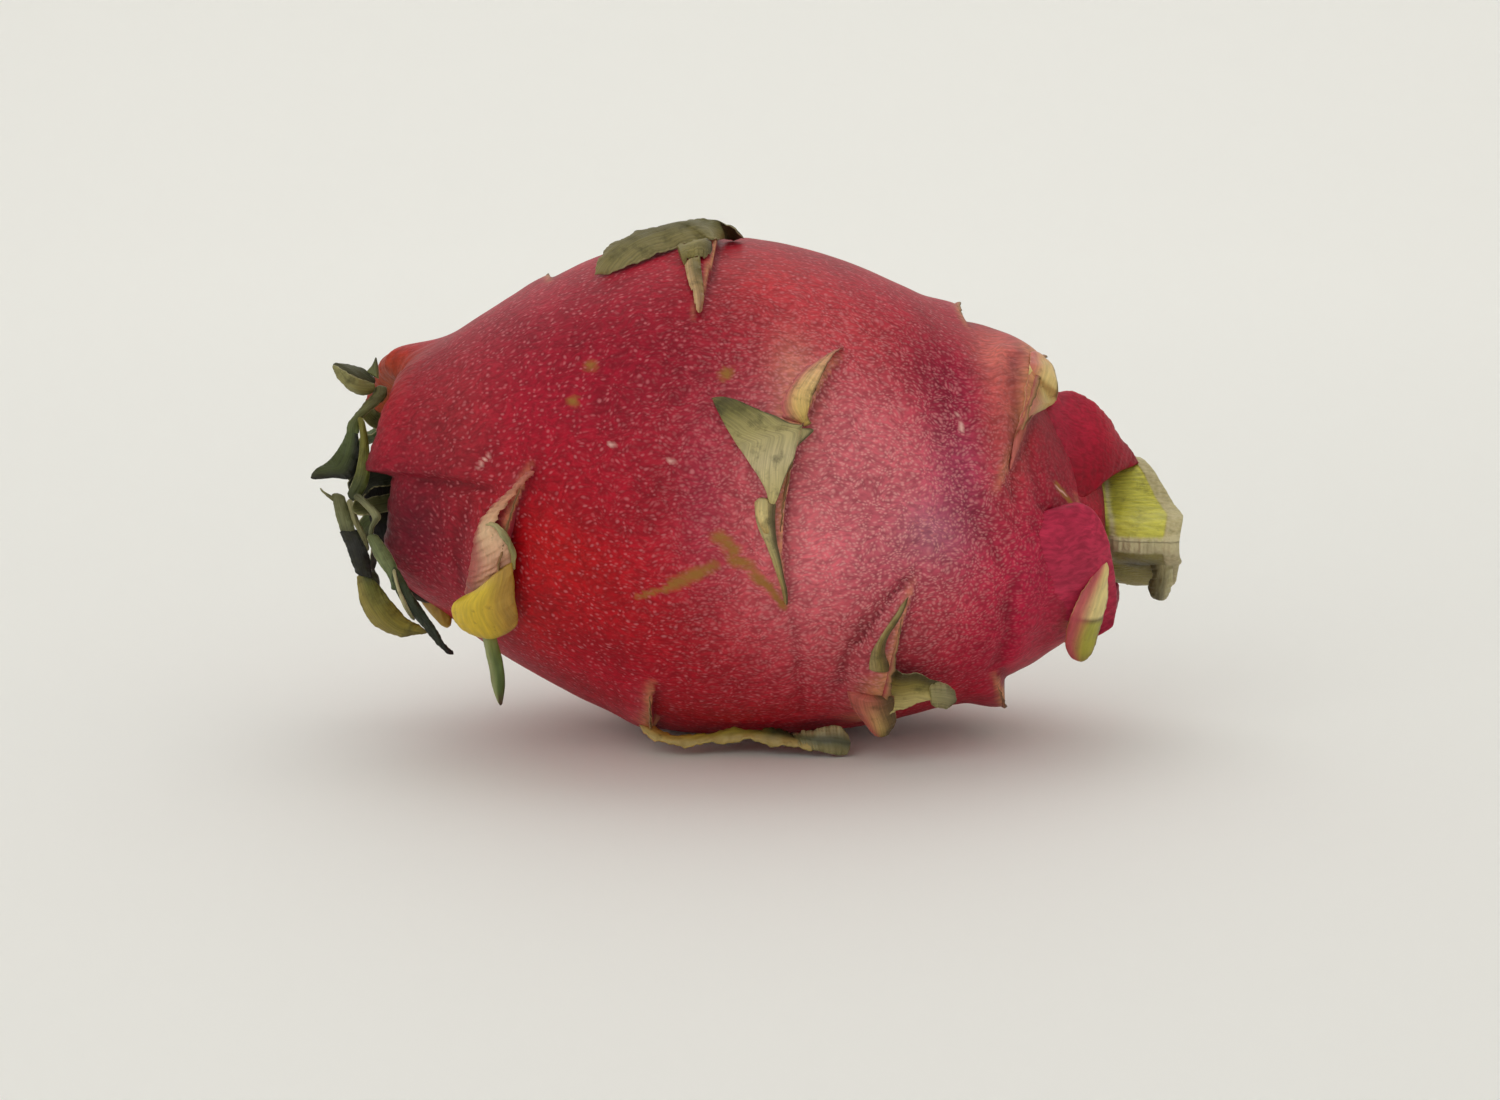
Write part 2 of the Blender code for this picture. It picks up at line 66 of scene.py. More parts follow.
# The fruit: one leathery red skin that swells into a ridge under every scale, with a sunken navel at the
# left and a round socket for the stem at the right. It is a turned outline with formulas laid over it.
# No margin or bract comes nearer to the floor than the gap.
AXIS_HEIGHT, NAVEL_SLOPE, STEM_SLOPE, STEM_SAG, SIDE_FLATTENING = 40.4, 0.03, 0.07, 0.0014, 0.98
FLOOR_GAP = 0.02
OUTLINE = (
    "-45 0, -45.5 7, -48.5 11.5, -53.5 13.2, -56 15.8, -54.6 19.4, -49 22.9, -41 28.3, -32 33.3, -24 37, "
    "-15 40.2, -5 41, 8 40, 20 37.4, 31 33.2, 41 27.9, 50 20.4, 56 13, 58.2 10, 56.6 8, 52 7.8, 52 3.5, 52 0"
)

# Ridges: where they are and how far they run, how far the upper end and both ends lie nearer the stem, height
# and length of the rise. Then, from the lower end to the upper one, how far the edge's yellow reaches back
# over the skin and how wide the free margin is, with the margin's lean in degrees and its edge's colour.
RIDGE_PARTS = [
    "x", "degrees", "half_span", "slope", "bow", "swell", "run", "pale", "lips", "lean", "edge_colour",
]
ridge_rows = [
    (5.4, 13, 21, 4.4, 5, 2, 12, (0.5, 0.8, 1, 3.4, 3.4, 1), (0.4, 0.5, 0.6, 0.8, 0.9, 0.8, 0.4), 80,
     "4a3a1c"),
    (-6, 82, 25, 0, -2.4, 1.6, 12, (0.3, 0.4, 0.8), (0.3, 0.3, 0.4, 0.7, 0.5), 85, "7a2c30"),
    (20.6, -38, 18, 3, 2.5, 3.2, 13, (4, 3.4, 1.6, 0.6), (1, 1.4, 1.6, 1.2, 0.8, 0.5), 70, "6a4a26"),
    (-16.5, -60, 13, 0, 2, 2, 12, (1.4, 1.4, 0.8), (0.8, 1, 0.8), 75, "5c4a22"),
    (-39.5, -16, 15, 3.5, 3, 3.2, 10, (2.4, 1.6, 0.6), (1.2, 1.8, 1.8, 1.2, 0.8), 65, "7a5a34"),
    (45.2, 62, 20, 4.2, -2.4, 5.4, 16, (0.8, 1.6, 3, 2, 1), (0.7, 0.9, 1.2, 1.5, 1.4, 0.9), 78, "3c3414"),
    (54, -20, 14, 0.5, -2, 3.4, 13, (1.6, 2.4, 1.2, 0.6), (1, 1.6, 1.7, 1.4, 0.8), 55, "4a3c18"),
    (41, -80, 14, 0, -1.5, 3, 11, (0.6, 1, 0.6), (0.8, 1, 0.8), 80, "5c3422"),
    (33.5, 112, 19, 0, 2, 2.2, 12, (0.5, 1.2, 0.8), (0.8, 1.2, 1.2, 0.8), 75, "4c3a20"),
    (-34, 116, 20, 0, 2.5, 2, 10, (0.5, 1.2, 0.8), (0.7, 0.9, 0.7), 80, "4c3a20"),
]
# Two rows of four scales on the back, which the photograph doesn't show: angle, first place along the axis
BACK_ROWS, BACK_STEP = [(164, 48), (-142, 36)], 26
back_places = [
    (row, step, first_x - BACK_STEP * step, row_angle + (5 if step % 2 else -5))
    for row, (row_angle, first_x) in enumerate(BACK_ROWS) for step in range(4)
]
for _, step, back_x, back_degrees in back_places:
    ridge_rows.append((back_x, back_degrees, 17 * (0.8 if step in (0, 3) else 1), 3.5, 5, 2.4, 12,
                       (0.4, 0.9, 1.2, 0.8, 0.4), (0.8, 1.2, 1.4, 1.2, 0.8), 74, "4c3a20"))
RIDGES = [dict(zip(RIDGE_PARTS, row)) for row in ridge_rows]

# The navel's rim, where the last scales stand over it: angle, how far it reaches past the outline, and how
# far it flares
NAVEL_RIM = (
    "-180 3.5 0, -142 2.5 -0.6, -115 -1 0, -90 -4 1, -60 0 0, -40 2.2 -0.5, -12 1 -0.3, 8.5 0.3 0, "
    "11 4.6 -1.1, 31 3.2 -0.8, 55 1.6 -0.3, 85 -0.2 0, 96 0.6 0.4, 106 3.6 2.2, 120 5.2 2.6, 145 8 1.6, "
    "165 6 0.4, 180 3.5 0"
)

# Lines on the skin as (x, angle) points: shallow folds with their depth and width, and corky scars
FOLDS = [
    ("40.5 66, 39.9 54, 39.5 44, 39.8 34.5, 39.4 27, 40 20.5, 40.9 13.5", -0.5, 0.7),
    ("42.1 60, 41.5 48, 41.3 36, 41.1 26, 41.8 16", 0.55, 1.1),
    ("31.8 48, 31.2 42, 30.6 35, 31.4 24, 33.2 14, 36.9 2.7", 0.6, 3.5),
    ("36.9 56, 36.6 40, 35.9 24, 36.4 12", -0.35, 1.6),
    ("36.9 11.3, 39.9 8.1, 42.7 0.7, 45.3 -4.7", -0.45, 0.8), ("35.4 6.9, 38.1 -0.1, 40.3 -7.9", 0.45, 0.9),
    ("39.2 12.5, 42.5 7, 45 2", 0.35, 0.7), ("46.1 16.5, 49.1 13.9, 50.9 8.9", 0.6, 0.9),
    ("44.5 10, 47 4, 48 -4", 0.4, 1.0), ("43.4 40, 45 30, 46 20", 0.4, 1.4),
    ("40 100, 42 84, 43.5 68, 44 54", -2.0, 4.6), ("52 60, 51 45, 50 30, 51 18", 0.9, 4.5),
    ("42.3 -12, 40.8 -22, 41.6 -33, 40 -46", 0.45, 1.3), ("44.3 -16, 44 -30, 43.4 -46", -0.7, 2.4),
    ("26.3 -9, 21.7 -14.5, 18.6 -21, 15.8 -30, 14.6 -40", 0.5, 1.1),
    ("24.6 -11.5, 22.6 -15, 20.6 -19.5, 18.6 -24.5, 17.4 -28", 0.9, 0.6),
    ("-8.7 21.1, -10.8 16.5, -11 13.5, -10.2 7.3, -9.2 1.3", 0.15, 0.8),
    ("-1.4 17, -1.9 12, -1.4 6, -0.2 -1, 1.6 -8", 0.25, 0.5),
    ("0.2 16, -0.5 11, 0 5, 1.2 -1, 3 -8", -0.3, 0.9),
    ("6.6 -18.9, 7.9 -26.1, 8.4 -38.5, 8.8 -53.5", 0.3, 1.2),
    ("-58 8.2, -52.6 7.4, -45.9 6.2, -39.2 5.2", 0.5, 0.7),
    ("-43 -3, -44.5 -12, -45 -22, -44.5 -32", 0.5, 1.4), ("-44 150, -38 158, -30 156", 0.4, 1.2),
    ("12 148, 14 158, 13 170", 0.4, 1.2), ("-12 -120, -8 -112, 0 -108", 0.4, 1.2),
    ("30 170, 33 180, 32 192", -0.5, 1.2), ("44 150, 46 165, 45 180", 0.6, 1.2),
    ("42 -100, 44 -118, 43 -135", 0.6, 1.4),
]
SCARS = [
    ("-17 -17.6, -12.1 -14.7", 0.55), ("-11.4 -14, -7.4 -10.8", 1.25), ("-7 -10.6, -4.6 -8.6", 1.0),
    ("-4.2 -2.4, -1.8 -4.9", 1.3), ("-2 -7.4, 0.6 -8.4", 1.2), ("1.4 -10.6, 3.4 -13.4", 1.1),
    ("4 -14.4, 5.8 -18", 0.8), ("-24 37.7, -23.6 37.4", 1.1), ("-26.5 28.7, -26.3 28.3", 1.0),
    ("-3.3 32.6, -2.6 34", 1.0), ("49.6 28.5, 51.5 24", 0.7), ("-6 142, -3 145", 1.3), ("1 144, 4 147", 1.0),
    ("18 -128, 21 -126", 1.2),
]
SCRATCHES = [
    ("-41.4 11.9, -40.4 14.5, -39.5 16.3", 0.16), ("49.4 27.6, 50.9 26.3", 0.16),
    ("-11.6 13.2, -11 13.2", 0.3), ("-21 17.5, -19.8 16.8", 0.16), ("33 36, 33.6 31", 0.2),
]

# Colour zones: x, angle, half size along the axis and round it in millimetres, sRGB colour, share of it
DEEP_RED = "a20526"
ZONES = [
    (-28, -9, 15, 12, "b00c0a", 0.9), (-34, -34, 9, 9, "ac1012", 0.75), (-19, -24, 15, 9, "ac0a16", 0.7),
    (-7, -34, 12, 12, "a80a1c", 0.6), (3, 62, 12, 13, "b02026", 0.85), (16, 48, 13, 9, "b83036", 0.7),
    (-46, 32, 8, 18, "a42c34", 0.75), (-52, -16, 8, 13, "600a1e", 0.95), (-38, 62, 14, 14, "8c2c3a", 0.5),
    (-12, 34, 16, 14, "800420", 0.55), (-20, 4, 12, 8, "9a0624", 0.5),
    (12, 2, 15, 22, "dc7078", 0.9), (20, 18, 14, 13, "d66874", 0.8), (24, -8, 12, 12, "cc5e74", 0.7),
    (29, 2, 5, 4.5, "b87488", 0.75), (33, 18, 5, 12, "c25078", 0.6), (19, -27, 8, 10, "bc4c50", 0.5),
    (28, -22, 8, 8, "b03c48", 0.7), (46, -4, 9, 14, "b82448", 0.85), (40.5, 54, 4, 13, "dc7860", 0.85),
    (50, 36, 7, 9, "ae1e34", 0.85), (32, 45, 8, 9, "980838", 0.7), (42, -42, 9, 12, "b20c38", 0.7),
    # painted shade: the second zone on the next line darkens the skin near the navel's rim, under the crown
    # leaves, to near black
    (-59, 100, 5, 12, "a8441c", 0.95), (-57.5, -12, 2.6, 12, "200a0c", 0.95),
    (7.5, 33, 3.5, 7, "c8806a", 0.8), (-6, 6, 4, 14, "9c2c44", 0.5), (0, -60, 30, 12, "b01420", 0.7),
    (-20, 150, 22, 24, "a0182c", 0.7), (22, -160, 20, 20, "ac3048", 0.7), (0, -110, 24, 18, "981220", 0.7),
    (34, 130, 12, 14, "a83048", 0.6), (-46, -150, 9, 18, "70102a", 0.8), (54, 150, 8, 16, "a01634", 0.7),
]


def points_in(points):
    """The points of a text with spaces between numbers and commas between points. Other points stay as they
    are."""
    if isinstance(points, str):
        return [tuple(float(number) for number in point.split()) for point in points.split(",")]
    return points


def walked_along(points):
    """The distance walked from the first point to each one."""
    return np.concatenate([[0], np.cumsum(np.linalg.norm(np.diff(points, axis=0), axis=1))])


def curve_through(points, count, dense_steps=24):
    """Count points, evenly spaced, on a smooth (Catmull-Rom) curve through the given ones."""
    knots = np.array(points_in(points), float)
    padded = np.vstack([2 * knots[0] - knots[1], knots, 2 * knots[-1] - knots[-2]])
    share = np.linspace(0, 1, dense_steps, endpoint=False)[:, None]
    spans = []
    for a, b, c, d in zip(padded, padded[1:], padded[2:], padded[3:]):
        bend = (2 * a - 5 * b + 4 * c - d) * share**2 + (3 * b - a - 3 * c + d) * share**3
        spans.append(b + 0.5 * ((c - a) * share + bend))
    dense = np.vstack([*spans, knots[-1:]])
    walked = walked_along(dense)
    stops = np.linspace(0, walked[-1], count)
    return np.stack([np.interp(stops, walked, column) for column in dense.T], axis=1)


def rings_and_turns(rings, steps):
    """Stations from 0 to 1 down a column, and angles once round along a row."""
    return np.linspace(0, 1, rings)[:, None], np.linspace(0, 2 * np.pi, steps, endpoint=False)[None, :]


def smooth(value):
    """Rises from 0 to 1 with level ends, as value goes from 0 to 1."""
    held = np.clip(value, 0, 1)
    return held * held * (3 - 2 * held)


def bell(value, width):
    """1 where value is 0, falling off smoothly on both sides within about the width."""
    return np.exp(-((value / width) ** 2))


def spread_over(share, values):
    """A number between evenly spaced values, for a share from 0 to 1."""
    return np.interp(share, np.linspace(0, 1, len(values)), values)


def wander(value, seed):
    """A smooth wavy number from -1 to 1 along value: three sines whose pace and start come from the seed."""
    start = np.random.default_rng(seed).uniform(0, 2 * np.pi, 3)
    slow, middling, quick = (np.sin(rate * value + shift) for rate, shift in zip((1, 2.3, 5.1), start))
    return (slow + 0.6 * middling + 0.4 * quick) / 2


def linear(hex_colour):
    """An sRGB hex colour as linear red, green and blue."""
    value = np.array([int(hex_colour[i : i + 2], 16) for i in (0, 2, 4)]) / 255
    return np.where(value <= 0.04045, value / 12.92, ((value + 0.055) / 1.055) ** 2.4)


def painted(colours, mask, hex_colour):
    """Colours with another one laid over them by a mask."""
    return colours * (1 - mask[..., None]) + linear(hex_colour) * mask[..., None]


def with_alpha(colours):
    """Colours with a fourth channel of ones."""
    return np.concatenate([colours, np.ones((*colours.shape[:-1], 1))], -1)


fine_outline = curve_through(OUTLINE, 1400)
rim_at, shoulder_at = int(np.argmin(fine_outline[:, 0])), int(np.argmax(fine_outline[:, 0]))
outer_skin = fine_outline[rim_at : shoulder_at + 1]


def radius_at(x):
    """The turned outline's radius on the outer skin."""
    return np.interp(x, outer_skin[:, 0], outer_skin[:, 1])


def angle_between(angle, other):
    """The signed difference of two angles in radians, from -pi to pi."""
    return (angle - other + np.pi) % (2 * np.pi) - np.pi


def ridge_place(ridge, x, angle):
    """Where a point lies on a ridge: a share of its half length, and millimetres past its crest."""
    along = angle_between(angle, np.radians(ridge["degrees"])) * radius_at(ridge["x"]) / ridge["half_span"]
    return along, x - crest_at(ridge, along)


def crest_at(ridge, along):
    """How far along the axis a ridge's crest is, at a share of its half length."""
    return ridge["x"] + ridge["slope"] * along + ridge["bow"] * along**2


def distance_to_line(x, angle, line):
    """Millimetres over the skin from each point to the nearest stretch of a line of (x, degrees) points."""
    nearest, corners = np.full(np.shape(x), np.inf), points_in(line)
    for (x0, a0), (x1, a1) in zip(corners, corners[1:]):
        scale = radius_at((x0 + x1) / 2)
        side, rise = x - x0, angle_between(angle, np.radians(a0)) * scale
        dx, da = x1 - x0, np.radians(a1 - a0) * scale
        share = np.clip((side * dx + rise * da) / (dx * dx + da * da), 0, 1)
        nearest = np.minimum(nearest, np.hypot(side - share * dx, rise - share * da))
    return nearest


def relief(x, angle):
    """(rise, shift): a slow climb to each crest, a sheer fall behind it, an overhang and a foot groove."""
    rise, shift = np.zeros(np.shape(x)), np.zeros(np.shape(x))
    for ridge in RIDGES:
        along, across = ridge_place(ridge, x, angle)
        window = np.clip(1 - along**2, 0, 1) ** 1.5
        climb = 0.45 * smooth(1 + across / ridge["run"]) + 0.55 * smooth(1 + across / (0.5 * ridge["run"]))
        crest = np.where(across < 0, climb, 1 - smooth(across / 1.3))
        groove = 0.5 * bell(across - 3.2, 2.4) + 0.3 * bell(across - 1.8, 0.8)
        rise += window * (ridge["swell"] * crest - groove)
        shift += window * 1.5 * bell(np.maximum(across, 0), 0.9) * bell(np.minimum(across, 0), 2.2)
    for line, depth, width in FOLDS:
        rise -= depth * bell(distance_to_line(x, angle, line), width)
    # the near scale of the navel lies over the next one along a line of its own
    ledge = smooth((np.degrees(angle_between(angle, np.radians(6 + 0.18 * (-39 - x)))) + 0.2) / 2.2)
    fading = smooth(1 - np.degrees(angle_between(angle, 0)) / 50) * smooth((-37 - x) / 9)
    rise += 1.3 * ledge * fading
    rise -= 0.10 + 0.10 * wander(0.21 * x, 3) * np.sin(5 * angle + 0.07 * x)
    return rise, shift


def place_on_axis(x, radius, angle):
    """Points in millimetres for a distance along the sagging axis, a radius and an angle round it."""
    ahead = np.maximum(x, 0)
    axis_z = AXIS_HEIGHT - NAVEL_SLOPE * (x - ahead) - STEM_SLOPE * ahead - STEM_SAG * ahead**2
    y = -radius * np.cos(angle) * SIDE_FLATTENING
    return np.stack(np.broadcast_arrays(x, y, axis_z + radius * np.sin(angle)), axis=-1)


def over_skin(x, degrees, height):
    """A point a given height over the finished skin."""
    angle = np.radians(degrees)
    rise, shift = relief(np.asarray(x, float), angle)
    return place_on_axis(x + shift, radius_at(x) + rise + height, angle)


def closed_shell(points):
    """Corners and faces of a closed skin: quads between neighbouring rings, and a fan where each end ring
    shrinks to one point. The faces are turned over if the volume they hold comes out negative."""
    rings, steps = points.shape[:2]
    corners = np.vstack([points[1:-1].reshape(-1, 3), points[0].mean(0), points[-1].mean(0)])
    ring, step = (np.arange(rings - 3) * steps)[:, None], np.arange(steps)[None, :]
    onward = (step + 1) % steps
    above = ring + steps
    quads = np.stack([ring + step, ring + onward, above + onward, above + step], -1).reshape(-1, 4)
    last, ends = (rings - 3) * steps, (rings - 2) * steps
    first_fan = np.stack([np.full(steps, ends), onward[0], step[0]], -1)
    last_fan = np.stack([np.full(steps, ends + 1), last + step[0], last + onward[0]], -1)
    fans = np.vstack([first_fan, last_fan])
    triangles = np.vstack([quads[:, [0, 1, 2]], quads[:, [0, 2, 3]], fans])
    a, b, c = (corners[triangles[:, i]] for i in range(3))
    if np.einsum("ij,ij->", a, np.cross(b, c)) < 0:
        quads, fans = quads[:, ::-1], fans[:, ::-1]
    return corners, quads, fans


def make_piece(name, shells, node, material):
    """One object out of closed shells, each a (ring grid in millimetres, attributes by name) pair."""
    corners, faces, values, start = [], [], {}, 0
    for points, attributes in shells:
        shell_corners, quads, fans = closed_shell(points)
        corners.append(shell_corners)
        faces += (quads + start).tolist() + (fans + start).tolist()
        start += len(shell_corners)
        for key, grid in attributes.items():
            flat = np.asarray(grid, float).reshape(*points.shape[:2], -1)
            body = flat[1:-1].reshape(-1, flat.shape[-1])
            values.setdefault(key, []).append(np.vstack([body, flat[0].mean(0), flat[-1].mean(0)]))
    mesh = bpy.data.meshes.new(name)
    mesh.from_pydata(((np.vstack(corners) + FRAME_SHIFT) * MM).tolist(), [], faces)
    for key, parts in values.items():
        table = np.vstack(parts)
        width = table.shape[1]
        kind, field = {1: ("FLOAT", "value"), 2: ("FLOAT2", "vector"), 4: ("FLOAT_COLOR", "color")}[width]
        mesh.attributes.new(key, kind, "POINT").data.foreach_set(field, table.astype(np.float32).ravel())
    mesh.shade_smooth()
    mesh.materials.append(material)
    piece = bpy.data.objects.new(name, mesh)
    bpy.context.scene.collection.objects.link(piece)
    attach(piece, "root")
    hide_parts(node)
    return piece


# Rings: few in the navel and the socket, many over the outer skin, where the ridges are
last = len(fine_outline) - 1
stations = np.concatenate([
    np.linspace(0, rim_at - 40, 16), np.linspace(rim_at - 30, shoulder_at + 14, 206),
    np.linspace(shoulder_at + 24, last, 14),
])
place = stations[:, None]
angle = np.linspace(-np.pi, np.pi, 400, endpoint=False)[None, :]
x, radius = (np.interp(place, np.arange(last + 1), column) + 0 * angle for column in fine_outline.T)
angle = angle + 0 * x
outer = smooth((place - rim_at) / 90) * smooth((shoulder_at - place) / 60)
rise, shift = relief(x, angle)
rim = bell(place - rim_at, 70)
rim_angles, rim_reaches, rim_flares = np.array(points_in(NAVEL_RIM)).T
reach = np.interp(np.degrees(angle), rim_angles, rim_reaches) + 0.25 * wander(14 * angle, 95)
flare = np.interp(np.degrees(angle), rim_angles, rim_flares)
skin_points = place_on_axis(x + shift * outer - reach * rim, radius + rise * outer + flare * rim, angle)
skin_points[..., 2] = np.maximum(skin_points[..., 2], 0)

# Colours by place: deep red, the zones, then the scales' pale edges, painted shade behind the crests and
# along the folds, scars, painted shade in the navel and the socket, and painted light on the navel's far
# inner wall
skin_tint = np.zeros((*x.shape, 3)) + linear(DEEP_RED)
for zone_x, zone_angle, half_length, half_width, colour, share in ZONES:
    turned = angle_between(angle, np.radians(zone_angle)) * radius_at(zone_x)
    skin_tint = painted(skin_tint, share * bell(x - zone_x, half_length) * bell(turned, half_width), colour)
edge, yellow, shade, cork, scratch = (np.zeros_like(x) for _ in range(5))
for number, ridge in enumerate(RIDGES):
    along, across = ridge_place(ridge, x, angle)
    window = np.clip(1.05 - along**2, 0, 1) ** 0.6
    pale = spread_over((along + 1) / 2, ridge["pale"]) * (1 + 0.35 * wander(9 * along, number))
    behind, back_from_crest = np.where(across < 0.6, window, 0), np.minimum(across, 0)
    edge = np.maximum(edge, behind * bell(back_from_crest, 2.2 * pale))
    yellow = np.maximum(yellow, behind * bell(back_from_crest, 0.75 * pale))
    # painted shade: a dark line in the groove just behind each crest, under its leaning margin
    shade = np.maximum(shade, window * (across > 0.5) * bell(across - 1.2, 1.1))
# painted shade along the folds, darker where they are deeper
for line, depth, width in FOLDS:
    darkness = np.clip(1.2 * depth, 0, 1) / max(1, 0.5 * width)
    shade = np.maximum(shade, darkness * bell(distance_to_line(x, angle, line), 0.8 * width))
for line, width in SCARS:
    away = distance_to_line(x, angle, line) + 0.6 * wander(2.6 * x, 91) * wander(90 * angle, 92)
    cork = np.maximum(cork, bell(away, width))
for line, width in SCRATCHES:
    scratch = np.maximum(scratch, np.exp(-((distance_to_line(x, angle, line) / width) ** 4)))
# painted shade: near-black over the navel's turned-in skin and dark red in the stem's socket
navel_shade = smooth((rim_at - place + 20) / 60) + 0 * x
socket_shade = smooth((place - shoulder_at + 30) / 40) + 0 * x
edge, yellow, shade = (value * outer for value in (edge, yellow, shade))
# painted light: the navel's far inner wall, which faces the eye, is painted a lit orange
lit_rim = navel_shade * bell(place - rim_at + 50, 70) * smooth(1.2 - np.abs(angle_between(angle, 2.3)) / 1.2)
for mask, colour in [(0.45 * edge, "b4505e"), (0.8 * yellow, "cf9a66"), (0.75 * shade, "560616"),
                     (navel_shade, "240c0a"), (socket_shade, "5c1424"), (0.8 * lit_rim, "b8501e")]:
    skin_tint = painted(skin_tint, mask, colour)
pinkness = bell(x - 19, 22) * bell(angle_between(angle, 0.1), 0.75)
dusted_here = 0.03 + 0.97 * pinkness * (1 - navel_shade)
speck = (0.62 + 0.38 * pinkness) * smooth((x + 60) / 18) * smooth((46 - x) / 15)
speck = speck * (1 - 0.8 * yellow) * (1 - navel_shade) * (1 - socket_shade)


def add_node(tree, kind, inputs, output=0, **settings):
    """Adds one node with its settings, sets or links its inputs, in order or by name or number, and gives the
    output that is asked for."""
    node = tree.nodes.new("ShaderNode" + kind)
    for key, value in settings.items():
        setattr(node, key, value)
    for key, value in inputs.items() if isinstance(inputs, dict) else enumerate(inputs):
        if isinstance(value, bpy.types.NodeSocket):
            tree.links.new(value, node.inputs[key])
        else:
            node.inputs[key].default_value = value
    return node.outputs[output]


def paint(hex_colour):
    """An sRGB hex colour as a shader's opaque colour."""
    return (*linear(hex_colour), 1)


def new_material(name):
    """An empty Principled material: its tree and its shader node."""
    material = bpy.data.materials.new(name)
    material.use_nodes = True
    return material, material.node_tree, material.node_tree.nodes["Principled BSDF"]


# Pitaya rind: thin, waxy and leathery, crimson under pink flecks 0.9 mm apart that lie a little along the
# fruit. The flecks catch the eye first, then slow changes of red, tan corky rubs and a soft satin sheen.
pitaya_rind, tree, shader = new_material("pitaya_rind")
spot = add_node(tree, "TexCoord", {}, "Object")
tint = add_node(tree, "Attribute", {}, "Color", attribute_name="tint")
fleck_here, fine_here, cork_here, scratch_here = (
    add_node(tree, "Attribute", {}, "Fac", attribute_name=name)
    for name in ("speck", "dusted", "cork", "scratch")
)
drift = add_node(tree, "TexNoise", {"Vector": spot, "Scale": 260.0, "Detail": 1.0}, "Color")
bent = add_node(tree, "VectorMath", [drift, (0.0022,) * 3, spot], operation="MULTIPLY_ADD")
laid = add_node(tree, "Mapping", {"Vector": bent, "Scale": (0.72, 1.0, 1.0)})
flecks = add_node(tree, "TexVoronoi", {"Vector": laid, "Scale": 1250.0, "Randomness": 0.85}, "Distance")
fleck_shape = add_node(tree, "MapRange", [flecks, 0.08, 0.42, 1.0, 0.0], interpolation_type="SMOOTHSTEP")
fleck_luck = add_node(tree, "SeparateColor", [flecks.node.outputs["Color"]])
fleck_even = add_node(tree, "MapRange", [fleck_luck, 0.0, 1.0, 0.42, 1.0])
fleck_share = add_node(tree, "Math", [fleck_shape, fleck_even], operation="MULTIPLY")
fleck_mask = add_node(tree, "Math", [fleck_share, fleck_here], operation="MULTIPLY")
slow = add_node(tree, "TexNoise", {"Vector": spot, "Scale": 90.0, "Detail": 4.0, "Roughness": 0.6})
slow_share = add_node(tree, "MapRange", [slow, 0.3, 0.7, 0.8, 1.2])
varied = add_node(tree, "VectorMath", {0: tint, "Scale": slow_share}, operation="SCALE")
pebbles = add_node(tree, "TexVoronoi", {"Vector": laid, "Scale": 2100.0}, "Distance")
grainy = add_node(tree, "Mapping", {"Vector": bent, "Scale": (0.35, 1.0, 1.0)})
grain = add_node(tree, "TexNoise", {"Vector": grainy, "Scale": 1500.0, "Detail": 2.0})
grain_share = add_node(tree, "MapRange", [grain, 0.35, 0.65, 0.78, 1.2])
grained = add_node(tree, "VectorMath", {0: varied, "Scale": grain_share}, operation="SCALE")
fine_shape = add_node(tree, "MapRange", [pebbles, 0.1, 0.6, 0.75, 0.0], interpolation_type="SMOOTHSTEP")
fine_mask = add_node(tree, "Math", [fine_shape, fine_here], operation="MULTIPLY")
crumbs = add_node(tree, "TexNoise", {"Vector": grainy, "Scale": 900.0, "Detail": 4.0, "Roughness": 0.7})
cork_sum = add_node(tree, "Math", [cork_here, crumbs], operation="ADD")
cork_mask = add_node(tree, "MapRange", [cork_sum, 0.75, 1.45, 0.0, 0.9])
colour = grained
for mask, over in [
    (fine_mask, "eca6a4"), (fleck_mask, "d67a80"), (cork_mask, "9c7034"), (scratch_here, "e8b8ac"),
]:
    colour = add_node(tree, "Mix", {0: mask, 6: colour, 7: paint(over)}, 2, data_type="RGBA")
tree.links.new(colour, shader.inputs["Base Color"])
gloss = add_node(tree, "MapRange", [cork_mask, 0.0, 1.0, 0.42, 0.8])
gloss_varied = add_node(tree, "Math", [crumbs, 0.12, gloss], operation="MULTIPLY_ADD")
tree.links.new(gloss_varied, shader.inputs["Roughness"])
height = fleck_mask
for relief_source, strength in [(slow, 4.0), (pebbles, -0.6), (grain, 1.0)]:
    height = add_node(tree, "Math", [relief_source, strength, height], operation="MULTIPLY_ADD")
bump = add_node(tree, "Bump", {"Strength": 0.55, "Distance": 0.00012, "Height": height})
tree.links.new(bump, shader.inputs["Normal"])
shader.inputs["Specular IOR Level"].default_value = 0.16

skin_values = {"tint": with_alpha(skin_tint), "speck": speck, "dusted": dusted_here, "cork": cork,
               "scratch": scratch}
make_piece("skin", [(skin_points, skin_values)], "fruit", pitaya_rind)


# The scales' free margins: the thin rolled edge in which each ridge of skin ends. They are the same growth as
# the skin, pink at the root, yellow, then brown and papery at the edge, and they lean over the skin behind.
def flat_section(turn):
    """(wide, thick): a flattened round section, with edges that stay nearly as thick as its middle."""
    return np.cos(turn), np.sign(np.sin(turn)) * np.abs(np.sin(turn)) ** 0.6


def ends_closed(station):
    """1 along a piece, falling to 0 at its two ends."""
    return np.clip(7 * np.sin(np.pi * np.clip(station, 0, 1)), 0, 1) ** 0.5


def blend_stops(share, stops):
    """Colours between stops, each a share and an sRGB hex colour, mixed in linear light."""
    marks, colours = zip(*(stop.split() for stop in stops.split(",")))
    marks, colours = [float(mark) for mark in marks], np.array([linear(colour) for colour in colours])
    return np.stack([np.interp(share, marks, column) for column in colours.T], -1)


